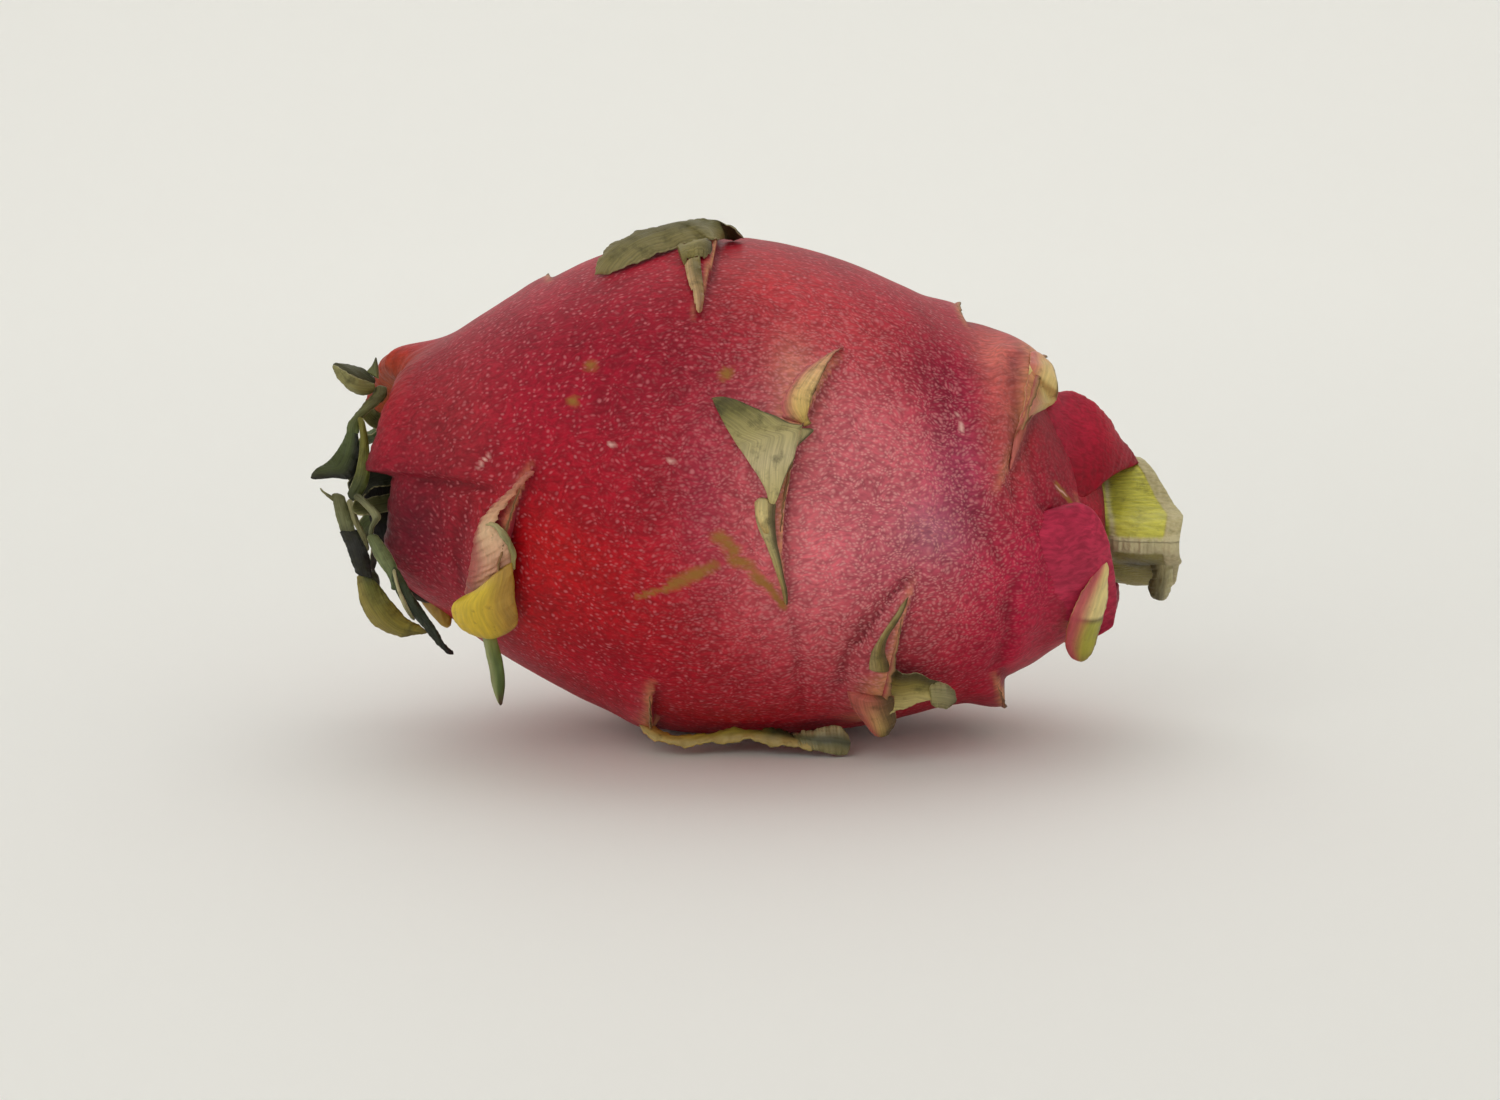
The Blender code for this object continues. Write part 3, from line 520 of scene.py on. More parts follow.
def margin_shell(ridge, seed):
    """A ridge's free margin: a band along the crest that leaves the skin and leans over towards the stem."""
    station, turn = rings_and_turns(110, 16)
    along = 0.985 * (2 * station - 1)
    around = np.radians(ridge["degrees"]) + along * ridge["half_span"] / radius_at(ridge["x"])
    crest = crest_at(ridge, along)
    rise, shift = relief(crest, around)
    taper = np.sqrt(np.clip(1 - along**2, 0, 1)) * ends_closed(station)
    wide, thick = flat_section(turn)
    across = (1 + wide) / 2
    length = ridge["half_span"] * along
    ragged = 1 + 0.16 * wander(1.3 * length, seed) + 0.14 * wander(4.1 * length, seed + 1)
    lip = spread_over(station, ridge["lips"]) * ragged
    lean = np.radians(ridge["lean"]) * across * (1 + 0.25 * wander(0.7 * length, seed + 2))
    half_thick = thick * taper * spread_over(across, [0.45, 0.16])
    height = 2.0 * (across - 1) * (1 - across) + lip * across * np.cos(lean / 2) - 0.4
    out = lip * across * np.sin(lean / 2) - 0.5 + 0.15 * across * wander(2.2 * length, seed + 3)
    height = height * taper - 1.0 * (1 - taper) + half_thick * np.sin(lean)
    out = out * taper - half_thick * np.cos(lean)
    steepness = (radius_at(crest + 1) - radius_at(crest - 1)) / 2
    size = np.sqrt(1 + steepness**2)
    margin_x = crest + shift + (out - height * steepness) / size
    points = place_on_axis(margin_x, radius_at(crest) + rise + (height + out * steepness) / size, around)
    points[..., 2] = np.maximum(points[..., 2], FLOOR_GAP)
    across_colours = "0 9c1c34, 0.5 a43c44, 0.78 b4805a, 0.9 846434, 1 " + ridge["edge_colour"]
    fibre = np.stack(np.broadcast_arrays(across * lip, length + 0 * across), -1)
    tint = with_alpha(blend_stops(across, across_colours) + 0 * points)
    return points, {"tint": tint, "fibre": fibre, "edge": np.zeros(points.shape[:2])}


def fibrous_material(name, stretch, strand_look, strand_range, blot_look, blot_range, blot_colour):
    """A material with strands along the fibre attribute that vary the tint, and blots over them. Gives the
    material, its tree, and the place, strands, blots and colour made so far."""
    material, tree, _ = new_material(name)
    spot = add_node(tree, "TexCoord", {}, "Object")
    tint = add_node(tree, "Attribute", {}, "Color", attribute_name="tint")
    fibre = add_node(tree, "Attribute", {}, "Vector", attribute_name="fibre")
    laid = add_node(tree, "Mapping", {"Vector": fibre, "Scale": (*stretch, 1.0)})
    strands = add_node(tree, "TexNoise", {"Vector": laid, "Scale": 1.0, **strand_look}, noise_dimensions="2D")
    strand_share = add_node(tree, "MapRange", [strands, 0.3, 0.7, *strand_range])
    streaked = add_node(tree, "VectorMath", {0: tint, "Scale": strand_share}, operation="SCALE")
    blots = add_node(tree, "TexNoise", {"Vector": spot, **blot_look})
    blot_mask = add_node(tree, "MapRange", [blots, *blot_range])
    blotted = add_node(tree, "Mix", {0: blot_mask, 6: streaked, 7: paint(blot_colour)}, 2, data_type="RGBA")
    return material, tree, spot, strands, blots, blotted


def worn_edges(tree, spot, under, grain_look, worn_range, colour):
    """Lays a worn colour over the edges, where their mark and a fine grain are both strong. Gives the grain,
    the mask and the colour."""
    edge_here = add_node(tree, "Attribute", {}, "Fac", attribute_name="edge")
    grain = add_node(tree, "TexNoise", {"Vector": spot, **grain_look})
    worn = add_node(tree, "Math", [edge_here, grain], operation="MULTIPLY")
    mask = add_node(tree, "MapRange", [worn, *worn_range])
    return grain, mask, add_node(tree, "Mix", {0: mask, 6: under, 7: paint(colour)}, 2, data_type="RGBA")


def finish_material(tree, colour, gloss_source, gloss_range, height, strength, distance):
    """Links a material's colour, its roughness from one source's range, and its bump."""
    shader = tree.nodes["Principled BSDF"]
    gloss = add_node(tree, "MapRange", [gloss_source, *gloss_range])
    bump = add_node(tree, "Bump", {"Strength": strength, "Distance": distance, "Height": height})
    for name, socket_shade in [("Base Color", colour), ("Roughness", gloss), ("Normal", bump)]:
        tree.links.new(socket_shade, shader.inputs[name])


# Dried bract: the scale's thin flesh dried to a leathery paper, with fibres 0.4 mm apart along it, drawn a
# little coarser than they are, olive and brown blotches of 2 to 4 mm, and a brittle pale or dark edge.
dried_bract, tree, spot, strands, blots, blotted = fibrous_material(
    "dried_bract", (3.4, 0.14), {"Detail": 3.0, "Distortion": 0.1}, (0.8, 1.18),
    {"Scale": 420.0, "Detail": 4.0, "Roughness": 0.65}, (0.52, 0.72, 0.0, 0.6), "35351a",
)
fine, _, edged = worn_edges(
    tree, spot, blotted, {"Scale": 1300.0, "Detail": 2.0}, (0.25, 0.6, 0.0, 0.8), "b9ad80"
)
height = add_node(tree, "Math", [fine, 0.4, strands], operation="MULTIPLY_ADD")
finish_material(tree, edged, blots, (0.3, 0.7, 0.5, 0.74), height, 0.7, 0.00022)

margins = [margin_shell(ridge, 10 + 5 * number) for number, ridge in enumerate(RIDGES)]
make_piece("scale_margins", margins, "fruit", dried_bract)


# The scales' dried tips: leathery tongues that grow out of the ridges and lie on the skin or curl off it.
# They are thin closed sheets, spread between two edge lines or laid along a path, and waved at their edges.
def sheet_values(station, wide, thick, half, length, stops, back, sides, edge, outline=None):
    """A sheet's colours and marks: stops along it, other colours on its back and towards its two edges, and
    with outline a dark band of painted shade along its second edge.
    """
    every = 0 * station * wide
    face = blend_stops(station + every, stops)
    for colour, toward in zip(sides or (), (-wide, wide)):
        if colour:
            face = painted(face, 0.95 * smooth((toward + 0.15) / 0.95) + every, colour)
    if outline:
        face = painted(face, 0.85 * smooth((wide - 0.84) / 0.1) + every, outline)
    below = (smooth(0.5 - 2 * thick) + every)[..., None]
    colour = face * (1 - below) + blend_stops(station + every, back or stops) * below
    fibre = np.stack(np.broadcast_arrays(wide * half, length + every), -1)
    edge_mark = edge * np.clip((np.abs(wide) - 0.86) * 7, 0, 1) * np.ones_like(half)
    return {"tint": with_alpha(colour), "fibre": fibre, "edge": edge_mark}


def sheet_shell(edge_a, edge_b, facing, stops, back=None, sides=None, bulge=0.3, frill=0.2, thickness=0.5,
                seed=1, edge=1.0, steps=26, rings=84, waves=1.3, lifts=None, outline=None, wrinkle=0.0):
    """A sheet ruled between two edge lines. It swells towards facing by bulge times its half width and its
    edges wave by frill millimetres. With lifts, heights over the skin from edge a to edge b, the lines are
    (x, angle) on the skin and the sheet follows it."""
    station, turn = rings_and_turns(rings, steps)
    taper = ends_closed(station)
    wide, thick = flat_section(turn)
    first, second = curve_through(edge_a, rings), curve_through(edge_b, rings)
    middle, across = (first + second) / 2, (second - first) / 2
    solid = middle if lifts is None else over_skin(middle[:, 0], middle[:, 1], 0)
    length = walked_along(solid)[:, None]
    scale = 1 if lifts is None else np.array([1, np.radians(radius_at(middle[:, 0]).mean())])
    half = np.linalg.norm(across * scale, axis=1)[:, None]
    wave = frill * taper * wide**2 * wander(waves * length + 1.7 * np.sign(wide), seed + 4)
    crumple = 0.12 * taper * wander(0.9 * length + 2.5 * wide, seed + 7)
    folds = wrinkle * taper * (1 - wide**2) * wander(4.5 * length + 1.3 * wide * half, seed + 9)
    raised = taper * bulge * half * (1 - wide**2) + wave + crumple + folds + thick * taper * thickness / 2
    spread = middle[:, None, :] + across[:, None, :] * (wide * taper)[..., None]
    if lifts is None:
        out = np.cross(np.gradient(middle, axis=0), across + 1e-6 * np.ones(3))
        out *= np.sign(out @ np.array(facing, float))[:, None]
        out /= np.maximum(np.linalg.norm(out, axis=1)[:, None], 1e-9)
        for _ in range(3):
            out[1:-1] = (out[:-2] + out[1:-1] + out[2:]) / 3
        points = spread + out[:, None, :] * raised[..., None]
    else:
        height = spread_over((wide + 1) / 2, lifts) * taper
        points = over_skin(spread[..., 0], spread[..., 1], height + raised)
    points[..., 2] = np.maximum(points[..., 2], FLOOR_GAP)
    return points, sheet_values(station, wide, thick, half, length, stops, back, sides, edge, outline)


def leaf_shell(path, widths, facing, curl, stops, frill=0.0, thickness=0.55, seed=1, edge=1.0):
    """A band along a path: its section is an arc that turns by curl radians each side, and its edges wave by
    frill millimetres."""
    rings, steps, waves = 84, 26, 1.1
    station, turn = rings_and_turns(rings, steps)
    track = curve_through(path, rings)
    tangent = np.gradient(track, axis=0)
    tangent /= np.linalg.norm(tangent, axis=1)[:, None]
    side = np.cross(tangent, facing)
    side /= np.linalg.norm(side, axis=1)[:, None]
    out = np.cross(side, tangent)
    taper = ends_closed(station)
    wide, thick = flat_section(turn)
    half = curve_through(np.stack([np.linspace(0, 1, len(widths)) * 10, widths], 1), 300)
    half = np.maximum(np.interp(station * 10, half[:, 0], half[:, 1]), 0.15)
    length = walked_along(track)[:, None]
    half = half * taper * (1 + 0.05 * np.sign(wide) * wander(waves * length, seed))
    bend = spread_over(station, curl)
    bend = np.where(np.abs(bend) < 0.05, 0.05, bend)
    lateral = half * np.sin(bend * wide) / bend
    raised = half * (1 - np.cos(bend * wide)) / bend
    wave = frill * taper * wide**2 * wander(waves * length + 1.7 * np.sign(wide), seed + 4)
    midrib = -0.22 * taper * bell(wide, 0.14) * np.clip(half / 3, 0, 1)
    crumple = 0.10 * taper * wander(0.9 * length + 2.5 * wide, seed + 7)
    half_thick = thick * taper * thickness / 2
    lateral = lateral - half_thick * np.sin(bend * wide)
    raised = raised + half_thick * np.cos(bend * wide) + wave + midrib + crumple
    points = track[:, None, :] + side[:, None, :] * lateral[..., None] + out[:, None, :] * raised[..., None]
    points[..., 2] = np.maximum(points[..., 2], FLOOR_GAP)
    return points, sheet_values(station, wide, thick, half, length, stops, None, None, edge)


def skin_path(steps):
    """A path over the skin through (x, angle in degrees, height) steps."""
    return [over_skin(x, degrees, height) for x, degrees, height in points_in(steps)]


def outward(x, degrees):
    """The direction straight out of the fruit at a place."""
    slope = (radius_at(x + 1) - radius_at(x - 1)) / 2
    angle = np.radians(degrees)
    return np.array([-slope, -np.cos(angle), np.sin(angle)])


to_skin = skin_points + FRAME_SHIFT - EYE
ahead = to_skin @ np.array([0, np.cos(TILT), -np.sin(TILT)])
over = to_skin @ np.array([0, np.sin(TILT), np.cos(TILT)])
seen_column = PHOTO_WIDE / 2 + FOCAL * to_skin[..., 0] / ahead
seen_row = PHOTO_HIGH / 2 - FOCAL * over / ahead


def on_skin(points, lift=0.6):
    """Places on the near skin under the pixels (column, row), a lift in millimetres nearer to the eye."""
    places = []
    for column, row in points_in(points):
        apart = np.hypot(seen_column - column, seen_row - row) + 0.6 * (ahead - ahead.min())
        near = np.unravel_index(np.argsort(apart, axis=None)[:6], apart.shape)
        places.append(at_pixel(column, row, skin_points[..., 1][near].mean() - lift))
    return places


def traced(points):
    """Places for (column, row, y) points of the photograph."""
    return [at_pixel(*point) for point in points_in(points)]


GREY_OLIVE = "0 bcac6c, 0.35 c4b588, 0.62 ac9f66, 0.8 7c743c, 0.92 4e471c, 1 7a7240"
OLIVE = "0 a8905a, 0.3 9a9060, 0.7 77703c, 1 5a5428"
BROWN_OLIVE = "0 a8764c, 0.3 8f8a50, 0.7 6a6a38, 1 4a4826"
middle_left = np.array(points_in("2.8 4.5, 2.6 7.7, 1.7 10.9, 0.3 13.9, -1.7 17.9, -3.7 22.7, -5.2 27.1"))
middle_right = np.array(points_in(
    "3.3 4.5, 3.9 7.5, 4.6 10.9, 5.7 14.3, 7.9 18.1, 10.4 21.9, 8 21.9, 6 22, 4.2 23.5, 1.2 25.1, -2.1 26.7, "
    "-5.2 27.3"
))
blades = [
    # the middle scale: three-cornered blade, yellow upper margin, narrow lower one and a small curl
    # its dark outline along the second edge is painted shade
    sheet_shell(middle_left, middle_right, None, GREY_OLIVE, lifts=(1.0, 1.2, 1.5), seed=3, bulge=0.06,
        steps=40, rings=120, edge=0.0, outline="3c3814"),
    # the upper margin's dark outline is painted shade
    sheet_shell("4.6 22.5, 4.8 26, 5.6 30.1, 8.1 35.6, 12.1 41.4, 15 44.4",
        "10.6 22.6, 9.2 25.5, 9.4 28.9, 10.6 32.5, 13.2 39.9, 15.3 44", None,
        "0 d4b45c, 0.4 e0b878, 0.8 cc906c, 1 a84c50", sides=("b84c58", None), lifts=(-0.5, 0.5, 1.3), seed=4,
        frill=0.3, bulge=0.05, waves=2.4, edge=0.0, outline="5a3a1c", wrinkle=0.12),
    sheet_shell("1.2 6.5, 1.5 1.1, 2.8 -3.9, 4.5 -10.5, 5.3 -13.3, 6 -17.5",
        "3.6 6.5, 3.5 2.1, 4 -2.9, 5.2 -8.1, 6.3 -13.3, 6.5 -17.6", None,
        "0 cbb476, 0.3 bcae78, 0.7 a89a5c, 1 8a7440", sides=(None, "4c3c1c"), lifts=(0.1, 0.9, 1.1), seed=5,
        bulge=0.1, waves=2.0, edge=0.2),
    sheet_shell("1.7 6.5, 1.4 4, 1.7 1.5, 2.4 -1", "2.7 6.5, 2.8 4, 2.9 1.5, 2.9 -1", None,
        "0 c0b078, 0.5 dcc888, 1 a88a4c", lifts=(0.7, 1.2, 1.0), seed=6, frill=0.1, edge=0.3),
    # the top scale: a folded blade over the skyline, and the twisted strip that hangs from it
    sheet_shell(traced("594 274 -14, 599 259 -11, 610 246 -8, 636 233 -7, 667 226 -6, 689 221 -6, "
        "706 219 -6, 720 221 -6, 732 229 -6, 744 237 -6"), on_skin("595 276, 615 271, 639 262, 659 254, "
        "677 247, 692 243, 704 240, 714 240, 728 239, 744 240", 1.2), (0, -0.5, 1),
        "0 8f8250, 0.15 6f642c, 0.5 5c5424, 0.8 6a6438, 0.93 3e2f12, 1 6a4a30", sides=(None, "857a48"),
        seed=7, frill=0.35, rings=110, edge=0.9),
    sheet_shell(on_skin("676 248, 692 243, 705 240, 713 244", 1.6), on_skin("684 266, 690 258, 700 257, "
        "712 254", 1.2), (0, -1, 0.6), "0 7c7038, 0.5 8c8048, 1 4a4020", seed=8, frill=0.5, bulge=0.4,
        waves=3, edge=0.8),
    sheet_shell(on_skin("684 262, 688 281, 693 294, 697 313", 0.9), on_skin("700 256, 702 275, 704 294, "
        "702 313", 0.9), (0, -1, 0.4), "0 8a7a44, 0.3 6c5c2c, 0.6 9a7c4c, 1 9c6444", sides=("c4a070", None),
        seed=9, frill=0.35, bulge=0.25, waves=2, edge=0.6),
    # the lower right scale: an olive strip in its crease, then the arch that curls out from under the fruit
    sheet_shell(on_skin("908 596, 896 613, 880 637, 871 654, 868 672", 0.9),
        on_skin("909 598, 901 617, 889 636, 885 652, 893 672", 1.3), (0, -1, 0),
        "0 6a5a2c, 0.5 7c6b2a, 1 8c7a3c", sides=("9c8a58", "54401c"), seed=10, bulge=0.2, edge=0.4),
    # painted shade: the arch's dark back and its dark upper side
    sheet_shell(traced("864 664 -32.5, 884 663 -31.5, 903 673 -30, 919 673 -29, 930 679 -28, 941 682 -27, "
        "951 689 -26, 955 698 -25.5"), traced("858 712 -28.5, 880 716 -28.5, 896 712 -28.5, 914 705 -28.5, "
        "930 700 -28, 940 704 -27, 950 705 -26, 955 701 -25.5"), (0, -1, 0.4),
        "0 b88a54, 0.2 a08c3c, 0.6 8a7c34, 0.8 948a54, 1 6a6440", back="0 4a3c18, 1 22240f",
        sides=("453a16", "b8a868"), seed=11, frill=0.35, bulge=-0.35, waves=1.8, edge=0.9),
    sheet_shell(traced("928 686 -27.5, 938 682 -27.3, 950 686 -26.6, 956 696 -26"),
        traced("930 704 -27.5, 938 708 -27.3, 948 708 -26.6, 955 702 -26"), (0, -1, 0),
        "0 9c9460, 0.5 8a825a, 1 54502c", seed=12, frill=0.6, bulge=0.5, waves=3),
    sheet_shell(traced("846 690 -29.5, 852 706 -28, 862 721 -27, 876 736 -26"),
        traced("894 694 -29.5, 895 708 -28, 896 722 -27, 888 736 -26"), (0, -1, -0.2),
        "0 b05848, 0.35 c08a5c, 0.7 c4a460, 1 8a7434", sides=("b4564c", "54401c"), seed=13, frill=0.3,
        bulge=0.35, thickness=0.9, edge=0.2),
    leaf_shell(skin_path("-31 124 -1.2, -33.8 124.4 1.6, -38 125.6 1.8, -43 127 1.3, -47.6 128.6 1.1"),
        [3.8, 5.0, 4.4, 2.8, 0.5], outward(-40, 126), [-0.3, -0.3, 0.2], OLIVE, seed=15, frill=0.3),
]
# the tips on the back: curled, flat, and flat the other way round
CURL_STEPS = [(-0.06, -0.5), (0.1, 0.75), (0.35, 1.0), (0.7, 0.8), (1, 0.6)]
for row, step, back_x, back_degrees in back_places:
    near_x, seed = back_x + 1, 20 + 9 * row + 2 * step
    kind, size, turned = [("curled", 1, 1), ("flat", 0.95, 0.85), ("flat", 0.85, -0.8)][(row + step) % 3]
    if kind == "curled":
        curl_path = skin_path([
            (near_x + 10 * share, back_degrees + 4 * share, 3.4 * height) for share, height in CURL_STEPS
        ])
        blades.append(leaf_shell(
            curl_path, [3.6, 4.4, 3.6, 2.4, 0.5], outward(near_x, back_degrees), [-0.9, -1.0], BROWN_OLIVE,
            seed=seed, frill=0.3,
        ))
    else:
        spread = (size, turned * 41 / radius_at(near_x))
        left_line, right_line = (
            (line - (5.4, 14)) * spread + (near_x, back_degrees) for line in (middle_left, middle_right)
        )
        # the dark outline of these flat tips is painted shade
        blades.append(sheet_shell(
            left_line, right_line, None, BROWN_OLIVE if row else GREY_OLIVE, lifts=(1.0, 1.1, 1.3),
            frill=0.25, bulge=0.06, seed=seed, edge=0.4, outline="4c3c1c",
        ))
make_piece("dried_tips", blades, "fruit", dried_bract)


# Fresh bract: the parts of the scales that have kept their flesh: yellow and green, smooth and a little waxy,
# with grain of about half a millimetre along them and small brown bruises.
fresh_bract, tree, _, grain, bruise, bruised = fibrous_material(
    "fresh_bract", (1.8, 0.3), {"Detail": 4.0}, (0.86, 1.12),
    {"Scale": 520.0, "Detail": 4.0, "Roughness": 0.7}, (0.6, 0.76, 0.0, 0.6), "6a4a20",
)
finish_material(tree, bruised, bruise, (0.3, 0.7, 0.36, 0.55), grain, 0.5, 0.0002)

# Fleshy bracts: the fresher ends of scales round the fruit, yellow where light never reached them, olive and
# dry where it did: the fold, pouch and needle at the left, the ribbon on the floor, the bands by the stem.
fleshy = [
    # the fold above the pouch, its grey-green rim, the pouch and the needle under it
    sheet_shell(
        on_skin("534 470, 523 477, 509 492, 492 508, 482 519, 476 532, 472 552, 468 575, 464 596", 1.2),
        on_skin("535 472, 522 484, 508 502, 496 519, 497 530, 506 541, 513 555, 513 572, 513 590", 1.6),
        (-0.3, -1, 0), "0 b4584c, 0.3 d09472, 0.5 e4bc94, 0.75 d49c80, 1 cca468", sides=("a84c44", None),
        seed=31, frill=0.4, waves=2.4, thickness=0.8, rings=120, edge=0.0, wrinkle=0.35),
    sheet_shell(on_skin("484 526, 493 527, 503 539, 510 552, 511 566", 2.4),
        on_skin("489 521, 499 525, 510 539, 516 553, 515 572", 2.2), (0, -1, 0),
        "0 b0a070, 0.5 8c8a5c, 1 9a8a4c", seed=32, frill=0.15, bulge=0.2, edge=0.5),
    sheet_shell(traced("474 592 -29, 462 597 -28.2, 453 604 -27.6, 452 615 -27, 459 626 -26.4, "
        "471 634 -25.8, 488 636 -25.6"), traced("511 558 -31, 513 568 -31, 514 579 -30.6, 515 598 -29.6, "
        "518 616 -28, 516 626 -27, 504 633 -26.2"), (-0.2, -1, 0), "0 d0ac54, 0.15 d6b830, 0.7 d0b028, "
        "1 a89428", sides=(None, "ac8434"), seed=33, bulge=0.32, thickness=1.0, edge=0.0, steps=36),
    sheet_shell(traced("480 628 -25.6, 485 650 -25, 489 668 -24.6, 492 686 -24.4, 498 704 -24.4"),
        traced("494 628 -25.6, 500 650 -25, 504 668 -24.6, 505 686 -24.4, 502 707 -24.4"), (-0.3, -1, 0),
        "0 8a8a3c, 0.4 56682c, 0.8 4a5c24, 0.95 4a3014, 1 3a2410", sides=("8f9460", None), seed=35, bulge=0.4,
        thickness=0.6),
    # the bottom scale's margin and the ribbon on the floor, with its crumpled end
    sheet_shell(traced("664 686 -21, 655 700 -20, 646 712 -18, 638 724 -16.5"),
        traced("676 692 -21, 668 706 -20, 660 718 -18, 652 732 -16.5"), (-0.4, -1, 0.2),
        "0 96283c, 0.5 a8524a, 1 b07a44", seed=36, frill=0.15, bulge=0.2, thickness=0.8),
    sheet_shell(traced("640 722 -17, 652 728 -18.5, 673 735 -20, 696 736 -20, 716 732 -19.5, 732 729 -19, "
        "755 730 -19, 779 729 -19, 795 735 -19, 818 734 -19.5"), traced("638 727 -19, 649 736 -21, "
        "663 743 -22, 681 746 -22.5, 703 744 -22, 722 743 -21.5, 741 741 -21.5, 755 741 -21.5, 775 746 -22, "
        "822 750 -23"), (0, -0.5, 1), "0 b06a40, 0.15 b4883c, 0.4 a8963c, 0.62 8a8434, 0.75 2e3a1c, 1 222c18",
        sides=(None, "b09a58"), seed=37, frill=0.5, waves=1.0, thickness=0.7, rings=140, edge=0.4),
    sheet_shell(traced("790 733 -19, 806 731 -20, 820 728 -21, 832 725 -21, 843 728 -21, 850 738 -21"),
        traced("796 746 -22, 810 750 -22.5, 822 752 -22.5, 834 755 -22.5, 845 755 -22, 851 748 -21.5"),
        (0, -1, 0.5), "0 3c4a20, 0.5 1f2c18, 1 2a3620", sides=("a89c70", "8c8458"), seed=39, frill=0.7,
        waves=2.4, thickness=0.6),
    # the far scale of the navel, orange and yellow in the shade behind the pouch
    sheet_shell(traced("407 574 -5, 414 590 -6, 424 606 -7, 436 620 -8, 444 628 -8.5"),
        traced("436 574 -5, 444 590 -6, 450 604 -7, 452 617 -8, 450 628 -8.5"), (-0.4, -1, 0),
        "0 8a4a26, 0.5 a07a30, 1 a8862c", seed=41, frill=0.3, thickness=1.2, edge=0.2),
    # the shoulder's yellow patch and the yellow and green band in front of the stem
    # the patch's dark outline is painted shade
    sheet_shell(
        on_skin("1030 350, 1030 362, 1028 376, 1025 390, 1024 403, 1020 418, 1014 440, 1009 470", 0.3),
        on_skin("1040 352, 1051 364, 1057 380, 1058 393, 1053 403, 1033 416, 1021 440, 1011 472", 0.6),
        (0.3, -1, 0), "0 c87c5c, 0.1 d8b470, 0.3 e4d088, 0.5 e0cc80, 0.6 b8a060, 0.8 a8543c, 1 8c2434",
        sides=("c8685c", None), seed=42, frill=0.15, bulge=0.12, thickness=0.6, waves=2, edge=0.0,
        outline="3c3414"),
    # the band's brown outline is painted shade
    sheet_shell(traced("1103 560 -19.4, 1095 573 -20.2, 1083 590 -21, 1071 615 -20.6, 1065 640 -18.6, "
        "1069 655 -17.4, 1078 661 -16.8"), traced("1107 560 -19, 1108 578 -19, 1107 600 -18.6, 1101 625 -18, "
        "1094 648 -17.4, 1088 658 -17, 1084 662 -16.8"), (0.3, -1, 0),
        "0 dcc07c, 0.35 e4d08a, 0.5 e4d08a, 0.53 7a6a34, 0.57 a8a238, 0.85 a49c30, 1 7a6020",
        sides=("b84450", None), outline="6c4420", seed=43, thickness=0.8, edge=0.0),
]
make_piece("fleshy_bracts", fleshy, "fruit", fresh_bract)

# The lobes by the stem: the last two scales, still fresh and red, that stand over the socket above and below.
red_lobes = [
    leaf_shell("44 3.5 49.5, 52.2 3.5 53.2, 57.6 3.5 51.6, 61.2 3.5 47.9, 63.4 3.2 45.6",
        [12, 12, 9.6, 5.6, 1.4], (0.35, 0.1, 0.95), [-0.9, -1.0, -1.1, -0.9],
        "0 980a26, 0.5 9c0e28, 0.85 8e142a, 1 6a1c26", seed=51, frill=0.4, thickness=1.0, edge=0.0),
    sheet_shell(traced("1026 404 -9, 1046 394 -3, 1068 391 0.5, 1085 396 1.2, 1103 411 1.8, 1116 431 2.4, "
        "1129 450 3, 1139 462 3.4"),
        on_skin("1008 440, 1024 470, 1042 488, 1062 497", -2.2) + traced("1080 498 -13, 1094 491 -11, "
        "1108 479 -8, 1123 470 -3, 1138 465 2.5"), (0.3, -1, 0.5),
        "0 b02440, 0.4 b01c38, 0.7 a80e2a, 1 8c1428", sides=(None, "8c0a20"), seed=52, bulge=0.08,
        thickness=0.8, edge=0.0, wrinkle=0.12, rings=110),
    leaf_shell("50 -2 18, 55.5 -4 16.6, 59 -5.5 19, 60.3 -6.5 22.4, 60.3 -7 25.6", [5.6, 6.0, 5.0, 3.4, 1.0],
        (0.8, -0.3, -0.5), [-0.6, -0.7, -0.6], "0 a01232, 0.5 a61638, 1 8c2038", seed=53, frill=0.3,
        thickness=1.0, edge=0.0),
    sheet_shell(traced("1064 506 -17.5, 1080 503 -19, 1095 512 -19.5, 1107 535 -19.5, 1114 570 -18, "
        "1117 602 -16, 1112 632 -14"), on_skin("1028 516, 1030 534, 1034 554, 1040 578, 1046 602, 1054 626, "
        "1066 645", -1.8), (0.3, -1, 0.3), "0 bc2c4c, 0.5 ba3450, 1 a81c3c", seed=54, frill=0.15,
        thickness=1.0, bulge=0.16, edge=0.0, wrinkle=0.15, rings=100),
]
make_piece("stem_lobes", red_lobes, "fruit", pitaya_rind)

# The crown: what is left of the flower's base, long dried leaves that grow from one small disc in the navel,
# green and olive where they are still leathery, black where they have rotted, with pale worn edges.
station, turn = rings_and_turns(24, 48)
disc_outline = curve_through("-49.8 0, -49.6 4.6, -47.8 6.4, -46.2 5.4, -46 0", 60)
disc_x, disc_radius = (spread_over(station, column) + 0 * turn for column in disc_outline.T)
disc_radius = disc_radius * (1 + 0.06 * np.cos(7 * turn))
disc_points = place_on_axis(disc_x, disc_radius, turn + 0 * station)
disc_values = {
    "tint": with_alpha(linear("4a3a20") + 0 * disc_points),
    "fibre": np.stack([disc_radius, turn * disc_radius], -1), "edge": 0 * disc_x,
}
GREEN = "0 34361a, 0.35 4a5624, 0.7 4a5a26, 1 2c2c16"
